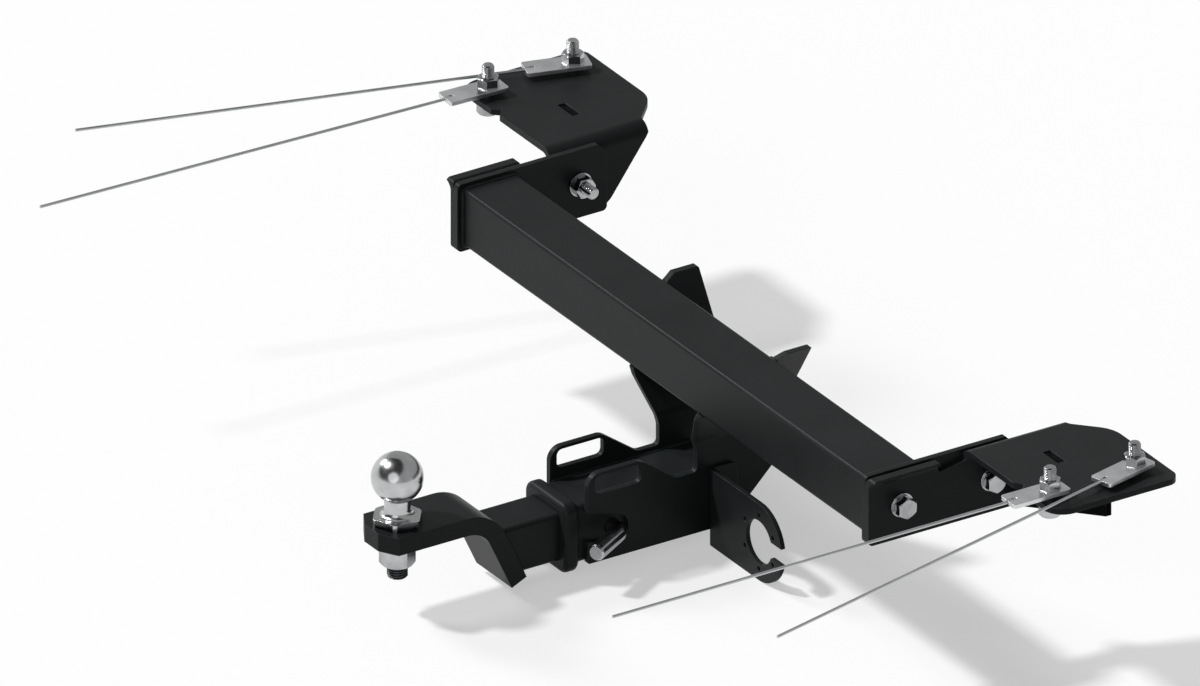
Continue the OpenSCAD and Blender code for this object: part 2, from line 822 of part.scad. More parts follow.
module ball_mount_tongue() {
    color(coat) placed()
        difference() {
            intersection() {
                along_x(-tongue_w / 2, tongue_w / 2) tongue_side();
                along_z(-2 * receiver_drop, 0) tongue_plan();
            }
            translate([0, -ball_setback, -tongue_drop - tongue_t - over])
                cylinder(h = tongue_t + 2 * over, d = stud_d + 2 * hole_gap);
        }
}

// Shank whose rear end is cut to the slope of the tongue's leg
module ball_mount_shank() {
    shank_start = tongue_bend_y;
    shank_end = -pin_setback + shank_front;
    color(coat) placed()
        difference() {
            along_y(shank_start, shank_end)
                translate([0, -receiver_drop])
                    tube_section(shank_size, shank_wall, shank_corner_r);
            along_x(-shank_size, shank_size)
                translate([tongue_bend_y, tongue_bend_z])
                    rotate(-tongue_bend_angle)
                        translate([-shank_size, -2 * shank_size])
                            square([4 * shank_size, 2 * shank_size + tongue_bend_outer_r]);
            bore_x(-shank_size, shank_size, -pin_setback, -receiver_drop, pin_hole_d);
        }
}

// Ball with a flat top, neck, collar and threaded stud, turned in one piece
module tow_ball() {
    flat_z = sqrt(pow(ball_d / 2, 2) - pow(ball_flat_d / 2, 2));
    collar_top = -ball_h + ball_collar_h;
    color(bright) placed() translate([0, -ball_setback, ball_z]) {
        difference() {
            sphere(d = ball_d);
            translate([-ball_d, -ball_d, flat_z]) cube([2 * ball_d, 2 * ball_d, ball_d]);
        }
        translate([0, 0, -ball_h]) cylinder(h = ball_h, d = neck_d);
        translate([0, 0, -ball_h]) rotate(ball_collar_turn)
            hexagon(ball_collar_af, ball_collar_h, collar_face);
        rotate_extrude()
            difference() {
                translate([0, collar_top]) square([neck_d / 2 + neck_fillet_r, neck_fillet_r]);
                translate([neck_d / 2 + neck_fillet_r, collar_top + neck_fillet_r]) circle(neck_fillet_r);
            }
        translate([0, 0, -ball_h - stud_l + tip_chamfer])
            cylinder(h = stud_l - tip_chamfer + ball_collar_h / 2, d = stud_d);
        translate([0, 0, -ball_h - stud_l])
            cylinder(h = tip_chamfer, d1 = stud_d - 2 * tip_chamfer, d2 = stud_d);
    }
}

// Split ring, cut through at a slant
module ball_spring_washer() {
    color(zinc) placed() translate([0, -ball_setback, spring_washer_z])
        difference() {
            washer(spring_washer_d, stud_d + 2 * hole_gap, spring_washer_t);
            translate([0, 0, spring_washer_t / 2]) rotate([spring_washer_slant, 0, 0])
                translate([0, -spring_washer_split / 2, -spring_washer_t])
                    cube([spring_washer_d, spring_washer_split, 2 * spring_washer_t]);
        }
}

module ball_nut() {
    color(zinc) placed() translate([0, -ball_setback, spring_washer_z])
        rotate([180, 0, 0]) nut(ball_nut_af, ball_nut_h, stud_d + 2 * nut_gap);
}

// Round bar with a bent handle and a cross hole for the clip
module hitch_pin() {
    tail_x = -gusset_outer_x - pin_tail;
    bend_r = pin_bend_x;
    color(zinc) placed() translate([0, -pin_setback, -receiver_drop])
        difference() {
            union() {
                bore_x(tail_x + tip_chamfer, gusset_outer_x, 0, 0, pin_d);
                translate([tail_x, 0, 0]) rotate([0, 90, 0])
                    cylinder(h = tip_chamfer, d1 = pin_d - 2 * tip_chamfer, d2 = pin_d);
                rotate([pin_handle_angle, 0, 0]) translate([gusset_outer_x, -bend_r, 0]) {
                    rotate_extrude(angle = 90) translate([bend_r, 0]) circle(d = pin_d);
                    translate([bend_r, 0, 0]) rotate([90, 0, 0])
                        cylinder(h = pin_handle_l - bend_r - tip_chamfer, d = pin_d);
                    translate([bend_r, bend_r + tip_chamfer - pin_handle_l, 0]) rotate([90, 0, 0])
                        cylinder(h = tip_chamfer, d1 = pin_d, d2 = pin_d - 2 * tip_chamfer);
                }
            }
            translate([-clip_x, 0, -pin_d]) cylinder(h = 2 * pin_d, d = clip_wire_d + 2 * pin_gap);
        }
}

// Spring clip: one straight leg through the pin, a loop, and one leg that hugs the pin
module hitch_pin_clip() {
    hug_r = pin_d / 2 + clip_wire_d / 2 + pin_gap;
    loop_r = hug_r / 2;
    tail = clip_wire_d + pin_d / 2;
    color(zinc) placed() translate([-clip_x, -pin_setback, -receiver_drop]) rotate([90, 0, 90]) {
        translate([0, -tail, 0]) rotate([-90, 0, 0]) cylinder(h = tail + clip_leg, d = clip_wire_d);
        translate([loop_r, clip_leg, 0])
            rotate_extrude(angle = 180) translate([loop_r, 0]) circle(d = clip_wire_d);
        translate([hug_r, 0, 0]) rotate([-90, 0, 0]) cylinder(h = clip_leg, d = clip_wire_d);
        mirror([0, 1, 0]) rotate_extrude(angle = hug_angle) translate([hug_r, 0]) circle(d = clip_wire_d);
    }
}

module side_bolts(side) {
    color(zinc) placed() on_side(side)
        at_side_bolts(web_outer_x + washer_t) hex_bolt(side_bolt_l);
}

module side_nuts(side) {
    color(zinc) placed() on_side(side)
        at_side_bolts(side_plate_x - washer_t) rotate([180, 0, 0]) nut(hex_af, nut_h, nut_hole_d);
}

module side_washers(side) {
    color(zinc) placed() on_side(side) {
        at_side_bolts(web_outer_x) washer(washer_d, hole_d, washer_t);
        at_side_bolts(side_plate_x - washer_t) washer(washer_d, hole_d, washer_t);
    }
}

module chassis_bolts(side) {
    color(zinc) placed() on_side(side)
        at_rail_bolts(flange_bottom_z - washer_t) rotate([180, 0, 0]) hex_bolt(rail_bolt_l);
}

module chassis_washers(side) {
    color(zinc) placed() on_side(side)
        at_rail_bolts(flange_bottom_z - washer_t) washer(washer_d, hole_d, washer_t);
}

// Place of a nut plate on its bolt, turned to its resting angle
module at_nut_plate(side, y, angle) {
    placed() on_side(side) translate([rail_bolt_x, y, nut_plate_z]) rotate(angle) children();
}

// Strip with a round hole for the bolt and an open notch for the wire at its rear end
module nut_plate() {
    difference() {
        linear_extrude(nut_plate_t)
            polygon(rounded([
                [-nut_plate_w / 2, -nut_plate_rear, nut_plate_r],
                [-wire_notch_w / 2, -nut_plate_rear, 0],
                [-wire_notch_w / 2, -nut_plate_rear + wire_notch_l, 0],
                [wire_notch_w / 2, -nut_plate_rear + wire_notch_l, 0],
                [wire_notch_w / 2, -nut_plate_rear, 0],
                [nut_plate_w / 2, -nut_plate_rear, nut_plate_r],
                [nut_plate_w / 2, nut_plate_front, nut_plate_r],
                [-nut_plate_w / 2, nut_plate_front, nut_plate_r]
            ]));
        translate([0, 0, -over]) cylinder(h = nut_plate_t + 2 * over, d = hole_d);
    }
}

// Straight wire from the notch's end to the rear
module pull_wire() {
    translate([0, -nut_plate_rear + wire_notch_l, nut_plate_t / 2])
        rotate([90, 0, 0]) cylinder(h = wire_l, d = wire_d);
}

module weld_nut() {
    translate([0, 0, nut_plate_t]) nut(hex_af, nut_h, nut_hole_d);
}

// Places of the rear and the front nut plate of one side
module at_rear(side) {
    at_nut_plate(side, rear_bolt_y, side < 0 ? left_rear_angle : right_rear_angle) children();
}

module at_front(side) {
    at_nut_plate(side, front_bolt_y, side < 0 ? left_front_angle : right_front_angle) children();
}

crossbar();
side_plate(-1);  // left_side_plate
side_plate(1);  // right_side_plate
chassis_bracket(-1);  // left_chassis_bracket
chassis_bracket(1);  // right_chassis_bracket
bracket_rib(-1);  // left_bracket_rib
bracket_rib(1);  // right_bracket_rib
receiver_tube();
receiver_collar();
gusset(-1);  // left_gusset
gusset(1);  // right_gusset
socket_plate();
ball_mount_tongue();
ball_mount_shank();
tow_ball();
ball_spring_washer();
ball_nut();
hitch_pin();
hitch_pin_clip();
side_bolts(-1);  // left_side_bolts
side_bolts(1);  // right_side_bolts
side_nuts(-1);  // left_side_nuts
side_nuts(1);  // right_side_nuts
side_washers(-1);  // left_side_washers
side_washers(1);  // right_side_washers
chassis_bolts(-1);  // left_chassis_bolts
chassis_bolts(1);  // right_chassis_bolts
chassis_washers(-1);  // left_chassis_washers
chassis_washers(1);  // right_chassis_washers
color(zinc) at_rear(-1) nut_plate();  // left_rear_nut_plate
color(zinc) at_front(-1) nut_plate();  // left_front_nut_plate
color(zinc) at_rear(1) nut_plate();  // right_rear_nut_plate
color(zinc) at_front(1) nut_plate();  // right_front_nut_plate
color(zinc) at_rear(-1) weld_nut();  // left_rear_weld_nut
color(zinc) at_front(-1) weld_nut();  // left_front_weld_nut
color(zinc) at_rear(1) weld_nut();  // right_rear_weld_nut
color(zinc) at_front(1) weld_nut();  // right_front_weld_nut
color(steel_wire) at_rear(-1) pull_wire();  // left_rear_pull_wire
color(steel_wire) at_front(-1) pull_wire();  // left_front_pull_wire
color(steel_wire) at_rear(1) pull_wire();  // right_rear_pull_wire
color(steel_wire) at_front(1) pull_wire();  // right_front_pull_wire
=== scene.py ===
"""A vehicle towbar, dressed for rendering.

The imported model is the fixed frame. Its plates, tubes, wires, washers and most nuts keep their shapes and get
worked finishes. Built here are the tow ball, the hitch pin, the receiver's collar, bolts with threads and
spring washers, the nuts on the strips, and the weld beads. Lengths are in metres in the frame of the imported
model; sizes in millimetres say so.
"""

import logging
import math
from dataclasses import dataclass, field
from enum import Enum
from functools import cache, reduce
from typing import Iterable, Sequence

import bmesh
import bpy
from mathutils import Matrix, Vector


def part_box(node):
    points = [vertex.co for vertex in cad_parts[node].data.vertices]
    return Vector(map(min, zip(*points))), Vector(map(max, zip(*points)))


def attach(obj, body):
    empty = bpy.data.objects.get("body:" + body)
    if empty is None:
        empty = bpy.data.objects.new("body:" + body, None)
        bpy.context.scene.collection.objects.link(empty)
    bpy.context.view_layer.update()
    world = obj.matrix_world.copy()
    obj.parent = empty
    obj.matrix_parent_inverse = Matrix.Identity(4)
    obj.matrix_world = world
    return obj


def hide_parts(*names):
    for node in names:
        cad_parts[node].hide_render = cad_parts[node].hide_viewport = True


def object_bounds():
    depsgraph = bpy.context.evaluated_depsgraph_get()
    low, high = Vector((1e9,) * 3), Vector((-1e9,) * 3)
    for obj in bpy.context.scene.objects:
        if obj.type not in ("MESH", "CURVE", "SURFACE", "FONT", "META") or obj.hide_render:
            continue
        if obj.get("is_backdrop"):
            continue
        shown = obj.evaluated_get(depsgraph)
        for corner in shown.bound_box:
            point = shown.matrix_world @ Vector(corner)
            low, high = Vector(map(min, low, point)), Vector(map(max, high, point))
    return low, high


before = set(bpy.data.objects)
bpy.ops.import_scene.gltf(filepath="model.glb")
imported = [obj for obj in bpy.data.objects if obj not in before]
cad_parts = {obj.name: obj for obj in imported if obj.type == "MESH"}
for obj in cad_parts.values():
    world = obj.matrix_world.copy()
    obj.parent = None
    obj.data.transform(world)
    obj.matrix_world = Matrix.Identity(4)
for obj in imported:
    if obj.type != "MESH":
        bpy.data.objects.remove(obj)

LOG = logging.getLogger("towbar")
Socket = bpy.types.NodeSocket
Material = bpy.types.Material
Piece = bpy.types.Object
Ring = list[bmesh.types.BMVert]
Band = list[bmesh.types.BMFace]
Path = Iterable[Vector]
Pair = tuple[float, float]
Triple = tuple[float, float, float]
Colour = Triple

FRAME_BODY = "towbar_frame"
MM = 0.001
QUARTER = math.pi / 2
# The crossbar's axis, from which the sizes in millimetres below are taken
AXIS_Y_MM = -132.5
AXIS_Z_MM = -38.7
# Between these values lies most of a noise
NOISE_BODY = (0.3, 0.7)
WHITE = (1.0, 1.0, 1.0, 1.0)


def seat(x: float, y: float, z: float) -> Vector:
    """Turns a place in millimetres from the crossbar's axis into metres in the row frame."""
    return Vector((x, y + AXIS_Y_MM, z + AXIS_Z_MM)) * MM


def sweep(start: float, end: float, steps: int) -> list[float]:
    """Angles in equal steps from one to another, both included."""
    return [start + (end - start) * i / steps for i in range(steps + 1)]


def polar(radius: float, turn: float) -> Pair:
    """The point at a radius and an angle."""
    return radius * math.cos(turn), radius * math.sin(turn)


def round_square(half: float, corner: float, steps: int = 5) -> list[Pair]:
    """Points round a square with round corners.

    Args:
        half: Half its width.
        corner: Corner radius.
        steps: Steps along each corner.

    Returns:
        The points, in order.
    """
    inner, points = half - corner, []
    for quarter, (x, y) in enumerate(((inner, inner), (-inner, inner), (-inner, -inner), (inner, -inner))):
        for a in sweep(QUARTER * quarter, QUARTER * (quarter + 1), steps):
            across, up = polar(corner, a)
            points.append((x + across, y + up))
    return points


class Slot(Enum):
    """Material slots of the record that the finishes belong to."""

    COAT = "black_coat"
    ZINC = "zinc_plate"
    WIRE = "zinc_wire"
    BALL = "polished_ball"


class Side(Enum):
    """Left and right side of the vehicle, as a factor on X."""

    LEFT = -1
    RIGHT = 1

    @property
    def word(self) -> str:
        """The side as it stands in node names."""
        return self.name.lower()


class NodeBook:
    """Fills a node tree, one node at a time."""

    def __init__(self, tree: bpy.types.NodeTree) -> None:
        """Takes a tree and clears it."""
        self.tree = tree
        tree.nodes.clear()

    def add(self, kind: str, inputs: dict | None = None, **settings: object) -> bpy.types.Node:
        """Adds a node.

        Args:
            kind: The node's type name.
            inputs: Values or sockets for its inputs, by name or index.
            settings: The node's own properties.

        Returns:
            The new node.
        """
        node = self.tree.nodes.new(kind)
        for name, value in settings.items():
            setattr(node, name, value)
        for key, value in (inputs or {}).items():
            if isinstance(value, Socket):
                self.tree.links.new(value, node.inputs[key])
            else:
                node.inputs[key].default_value = value
        return node

    def out(self, kind: str, inputs: dict | None = None, **settings: object) -> Socket:
        """Adds a node and returns its first output."""
        return self.add(kind, inputs, **settings).outputs[0]

    def calc(self, operation: str, *terms: float | Socket) -> Socket:
        """Does a Math node's operation on numbers or sockets."""
        return self.out("ShaderNodeMath", dict(enumerate(terms)), operation=operation)

    def any_of(self, *flags: Socket) -> Socket:
        """Finds whether any of several flags is up."""
        return reduce(lambda a, b: self.calc("MAXIMUM", a, b), flags)

    def dot(self, a: Triple | Socket, b: Triple | Socket) -> Socket:
        """Takes the dot product of two vectors."""
        return self.add("ShaderNodeVectorMath", {0: a, 1: b}, operation="DOT_PRODUCT").outputs["Value"]

    def span(self, value: Socket, source: Pair, target: Pair = (0.0, 1.0)) -> Socket:
        """Maps a number from one range to another, clamped."""
        ends = {"From Min": source[0], "From Max": source[1], "To Min": target[0], "To Max": target[1]}
        return self.add("ShaderNodeMapRange", {"Value": value, **ends}).outputs["Result"]


class MaterialBook(NodeBook):
    """Fills a material's node tree round one Principled shader, on Object coordinates."""

    NOISE_ROUGHNESS = 0.55
    BEVEL_SAMPLES = 6
    EDGE_FACING = (0.996, 0.86)

    def __init__(self, name: str) -> None:
        """Makes the material.

        Args:
            name: The material's name.
        """
        self.material = bpy.data.materials.new(name)
        self.material.use_nodes = True
        super().__init__(self.material.node_tree)
        self.shader = self.add("ShaderNodeBsdfPrincipled")
        self.add("ShaderNodeOutputMaterial", {"Surface": self.shader.outputs[0]})
        self.place = self.add("ShaderNodeTexCoord").outputs["Object"]

    def noise(self, scale: float, detail: float, place: Socket | None = None) -> Socket:
        """Adds noise from 0 to 1, in cells a metre, on Object coordinates or other ones."""
        inputs = {"Scale": scale, "Detail": detail, "Roughness": self.NOISE_ROUGHNESS}
        return self.add("ShaderNodeTexNoise", {"Vector": place or self.place, **inputs}).outputs["Fac"]

    def lines(self, scale: Triple, detail: float) -> Socket:
        """Adds noise with its own number of cells a metre along each axis."""
        stretched = self.out("ShaderNodeMapping", {"Vector": self.place, "Scale": scale})
        return self.noise(1.0, detail, stretched)

    def mixed(self, share: Socket, a: Colour | Socket, b: Colour) -> Socket:
        """Mixes two colours by the share of the second one."""
        first = a if isinstance(a, Socket) else (*a, 1.0)
        return self.add("ShaderNodeMix", {0: share, 6: first, 7: (*b, 1.0)}, data_type="RGBA").outputs[2]

    def rounded(self, radius: float) -> tuple[Socket, Socket]:
        """Softens the sharp edges.

        Args:
            radius: Radius of the softened edges.

        Returns:
            The softened normal, and a mask that is 1 along the edges.
        """
        soft = self.out("ShaderNodeBevel", {"Radius": radius}, samples=self.BEVEL_SAMPLES)
        plain = self.add("ShaderNodeNewGeometry").outputs["Normal"]
        return soft, self.span(self.dot(soft, plain), self.EDGE_FACING)

    def bumped(self, height: Socket, strength: float, depth: float, normal: Socket) -> Socket:
        """Bumps a normal by a height from 0 to 1, where 1 stands for the depth."""
        inputs = {"Height": height, "Strength": strength, "Distance": depth, "Normal": normal}
        return self.out("ShaderNodeBump", inputs)

    def finished(self, colour: Socket, roughness: Socket, normal: Socket, **values: float) -> Material:
        """Links the shader's main inputs and sets others.

        Args:
            colour: Base colour.
            roughness: Roughness.
            normal: Normal.
            values: Other inputs' values by name, with underscores for spaces.

        Returns:
            The finished material.
        """
        for name, socket in (("Base Color", colour), ("Roughness", roughness), ("Normal", normal)):
            self.tree.links.new(socket, self.shader.inputs[name])
        for name, value in values.items():
            self.shader.inputs[name.replace("_", " ")].default_value = value
        return self.material


@dataclass(frozen=True)
class SatinCoat:
    """Black satin powder coat: fine orange peel, broad drifts of sheen, and lighter edges that are part thin
    coat, part painted highlight.
    """

    name: str = "black_satin_coat"
    slot: Slot = Slot.COAT
    colour: Colour = (0.0112, 0.0132, 0.0136)
    dusty: Colour = (0.0165, 0.0188, 0.0193)
    # Colour along the edges, in patches: partly a thinner, worn coat and partly a painted highlight
    edge: Colour = (0.070, 0.076, 0.078)
    gloss: float = 0.10
    roughness: Pair = (0.36, 0.44)
    pit_roughness: Pair = (-0.02, 0.02)
    drift_scale: float = 9.0
    drift_colour: Pair = (0.35, 0.68)
    drift_sheen: Pair = (0.30, 0.72)
    chip_scale: float = 85.0
    chip_range: Pair = (0.40, 0.66)
    chip_share: Pair = (0.15, 1.0)
    peel_scale: float = 620.0
    pit_scale: float = 2600.0
    peel_strength: float = 0.16
    peel_depth: float = 0.00012
    edge_radius: float = 0.0011

    @cache
    def material(self) -> Material:
        """Builds the material, once.

        Returns:
            The material.
        """
        book = MaterialBook(self.name)
        soft, edges = book.rounded(self.edge_radius)
        drift = book.noise(self.drift_scale, detail=4.0)
        # Lighter edges in patches: partly a thinner, worn coat and partly a painted highlight
        wear_and_highlight_patches = book.span(book.noise(self.chip_scale, detail=5.0), self.chip_range, self.chip_share)
        pits = book.span(book.noise(self.pit_scale, detail=0.0), NOISE_BODY, self.pit_roughness)
        base = book.mixed(book.span(drift, self.drift_colour), self.colour, self.dusty)
        return book.finished(
            book.mixed(book.calc("MULTIPLY", edges, wear_and_highlight_patches), base, self.edge),
            book.calc("ADD", book.span(drift, self.drift_sheen, self.roughness), pits),
            book.bumped(book.noise(self.peel_scale, detail=1.0), self.peel_strength, self.peel_depth, soft),
            Specular_IOR_Level=self.gloss,
        )


@dataclass(frozen=True)
class Metal:
    """Plated or bare metal: a cool grey with cloudy patches, fine lines and softened, brighter edges."""

    name: str = "bright_zinc"
    slot: Slot = Slot.ZINC
    bright: Colour = (0.56, 0.57, 0.58)
    dull: Colour = (0.32, 0.33, 0.34)
    roughness: Pair = (0.12, 0.22)
    patch_scale: float = 46.0
    patch_detail: float = 4.0
    patch_range: Pair = (0.34, 0.66)
    patch_share: Pair = (0.0, 0.8)
    line_scale: Triple = (420.0, 24.0, 420.0)
    line_detail: float = 3.0
    line_share: Pair = (1.0, 1.0)
    line_roughness: Pair = (-0.04, 0.04)
    line_strength: float = 0.10
    line_depth: float = 0.00006
    edge_share: float = 0.2
    edge_radius: float = 0.0005

    @cache
    def material(self) -> Material:
        """Builds the material, once.

        Returns:
            The material.
        """
        book = MaterialBook(self.name)
        patches = book.noise(self.patch_scale, self.patch_detail)
        lines = book.lines(self.line_scale, self.line_detail)
        soft, edges = book.rounded(self.edge_radius)
        clean = book.span(patches, self.patch_range, self.patch_share)
        drawn = book.span(lines, NOISE_BODY, self.line_share)
        marks = book.span(lines, NOISE_BODY, self.line_roughness)
        shade = book.calc("MULTIPLY_ADD", clean, drawn, book.calc("MULTIPLY", edges, self.edge_share))
        return book.finished(
            book.mixed(shade, self.dull, self.bright),
            book.calc("ADD", book.span(patches, NOISE_BODY, self.roughness), marks),
            book.bumped(lines, self.line_strength, self.line_depth, soft),
            Metallic=1.0,
        )


Finish = SatinCoat | Metal

COAT = SatinCoat()
WELD_COAT = SatinCoat(name="coated_weld", roughness=(0.36, 0.48), peel_strength=0.3, edge_radius=0.0004)
# A darker, matt copy of the coat for the ribs: painted shade, so that the ribs' tabs in the flanges' slots read
# black
SHADED_RIB_COAT = SatinCoat(
    name="matt_rib_coat", colour=(0.0040, 0.0046, 0.0048), dusty=(0.0060, 0.0066, 0.0068), gloss=0.01,
    roughness=(0.60, 0.70),
)
ZINC = Metal()
ZINC_STRIP = Metal("zinc_strip", bright=(0.75, 0.76, 0.77), dull=(0.60, 0.61, 0.62), roughness=(0.26, 0.40))
# Dark metal for the ball collar's flats and the stud's thread: a painted dark reflection of the coat round them
DARK_REFLECTION_FLATS = Metal("forged_flats", bright=(0.11, 0.112, 0.115), dull=(0.05, 0.052, 0.054), roughness=(0.20, 0.34))
WIRE = Metal(
    "drawn_wire", Slot.WIRE, (0.60, 0.61, 0.62), (0.40, 0.41, 0.42), (0.30, 0.46), patch_scale=30.0,
    patch_range=NOISE_BODY, patch_share=(0.6, 1.0), line_scale=(1500.0, 14.0, 1500.0), line_detail=2.0,
    line_share=(0.4, 1.0), line_roughness=(0.0, 0.0), line_strength=0.2, line_depth=0.00005, edge_radius=0.0,
)
BALL_STEEL = Metal(
    "polished_steel", Slot.BALL, (0.54, 0.548, 0.553), (0.47, 0.476, 0.481), (0.17, 0.24), patch_scale=120.0,
    patch_detail=5.0, patch_range=(0.35, 0.65), patch_share=(0.0, 1.0), line_scale=(6.0, 6.0, 2600.0),
    line_detail=2.0, line_roughness=(0.0, 0.0), line_strength=0.05, line_depth=0.00003, edge_share=0.0,
    edge_radius=0.0006,
)


def put_on(finish: Finish, *nodes: str) -> None:
    """Gives CAD nodes a finish.

    Args:
        finish: The finish.
        nodes: Names of the nodes.
    """
    for node in nodes:
        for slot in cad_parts[node].material_slots:
            slot.material = finish.material()
        LOG.info("dressed %s in %s", node, finish.name)


def hand_over(
    piece: Piece, body: str = FRAME_BODY, replaces: Sequence[str] = (), sharp: float = 35.0
) -> None:
    """Shades a finished piece smooth between its sharp edges and hands it to its body.

    Args:
        piece: The finished piece.
        body: The CAD body that it rides on.
        replaces: CAD nodes that it stands for.
        sharp: Angle in degrees from which an edge stays sharp.
    """
    piece.data.shade_smooth()
    piece.data.set_sharp_from_angle(angle=math.radians(sharp))
    if replaces:
        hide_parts(*replaces)
    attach(piece, body)
    LOG.info("made %s, %d faces, on %s", piece.name, len(piece.data.polygons), body)


class Shape:
    """A mesh in the making."""

    def __init__(self) -> None:
        """Starts an empty mesh."""
        self.build = bmesh.new()

    def ring(self, spots: Path) -> Ring:
        """Adds corners and returns them in order."""
        return [self.build.verts.new(spot) for spot in spots]

    def skin(self, rings: Sequence[Ring], looped: bool = False, capped: bool = False) -> list[Band]:
        """Spans faces from ring to ring.

        Args:
            rings: Rings of equal length, or of a single corner where the skin ends on an axis.
            looped: Whether the last ring joins the first one.
            capped: Whether the first and the last ring get a flat face, with all faces turned outwards.

        Returns:
            The faces of each band.
        """
        bands = []
        for low, high in zip(rings, [*rings[1:], *(rings[:1] if looped else [])]):
            steps, band = max(len(low), len(high)), []
            for i in range(steps):
                j = (i + 1) % steps
                corners = (low[i % len(low)], low[j % len(low)], high[j % len(high)], high[i % len(high)])
                band.append(self.build.faces.new(list(dict.fromkeys(corners))))
            bands.append(band)
        if capped:
            self.build.faces.new(rings[0])
            self.build.faces.new(rings[-1][::-1])
            self.face_outwards()
        return bands

    def face_outwards(self) -> None:
        """Turns all faces outwards."""
        bmesh.ops.recalc_face_normals(self.build, faces=self.build.faces)

    def lathe(self, profile: Sequence[Pair], steps: int, place: Matrix) -> None:
        """Turns a profile about Z. Sizes in millimetres.

        Args:
            profile: Radius and height of each ring, from the bottom up along the outside.
            steps: Steps round the axis.
            place: Place of the turned shape.
        """
        turns = sweep(0.0, math.tau, steps)[:-1]
        rings = []
        for radius, height in profile:
            spots = [(*polar(radius, a), height) for a in turns]
            rings.append(self.ring(place @ (Vector(spot) * MM) for spot in (spots if radius else spots[:1])))
        self.skin(rings)

    def piece(self, name: str, *finishes: Finish) -> Piece:
        """Ends the mesh as an object at the origin.

        Args:
            name: The object's name.
            finishes: Its finishes, in the order of the faces' material indices.

        Returns:
            The object.
        """
        mesh = bpy.data.meshes.new(name)
        self.build.to_mesh(mesh)
        self.build.free()
        for finish in finishes:
            mesh.materials.append(finish.material())
        made = bpy.data.objects.new(name, mesh)
        bpy.context.scene.collection.objects.link(made)
        return made


class GeometryTree(NodeBook):
    """A Geometry Nodes tree with named inputs, applied to one object at a time."""

    def __init__(self, name: str, *sizes: str) -> None:
        """Makes the tree with inputs for geometry, sizes and material.

        Args:
            name: The tree's name.
            sizes: Names of the sizes.
        """
        super().__init__(bpy.data.node_groups.new(name, "GeometryNodeTree"))
        self.keys: dict[str, str] = {}
        self.tree.interface.new_socket("Geometry", in_out="OUTPUT", socket_type="NodeSocketGeometry")
        self.socket("Geometry", "Geometry")
        for label in sizes:
            self.socket(label, "Float")
        self.socket("Material", "Material")
        self.given = self.add("NodeGroupInput").outputs

    def socket(self, label: str, kind: str) -> None:
        """Adds a named input and keeps its identifier."""
        made = self.tree.interface.new_socket(label, in_out="INPUT", socket_type=f"NodeSocket{kind}")
        self.keys[label] = made.identifier

    def close(self, geometry: Socket) -> None:
        """Ends the tree in Realize Instances and Set Material.

        Args:
            geometry: The geometry to hand out.
        """
        real = self.out("GeometryNodeRealizeInstances", {0: geometry})
        dressed = self.out("GeometryNodeSetMaterial", {"Geometry": real, "Material": self.given["Material"]})
        self.add("NodeGroupOutput", {0: dressed})

    def apply(self, piece: Piece, finish: Finish, **values: object) -> None:
        """Runs the tree on an object and keeps the result as its plain mesh.

        Args:
            piece: The object, whose mesh is the tree's geometry.
            finish: The finish of the result.
            values: Values by input name, with underscores for spaces.
        """
        modifier = piece.modifiers.new(self.tree.name, "NODES")
        modifier.node_group = self.tree
        for label, value in {"Material": finish.material(), **values}.items():
            modifier[self.keys[label.replace("_", " ")]] = value
        made = piece.evaluated_get(bpy.context.evaluated_depsgraph_get())
        mesh = bpy.data.meshes.new_from_object(made)
        piece.modifiers.remove(modifier)
        piece.data = mesh


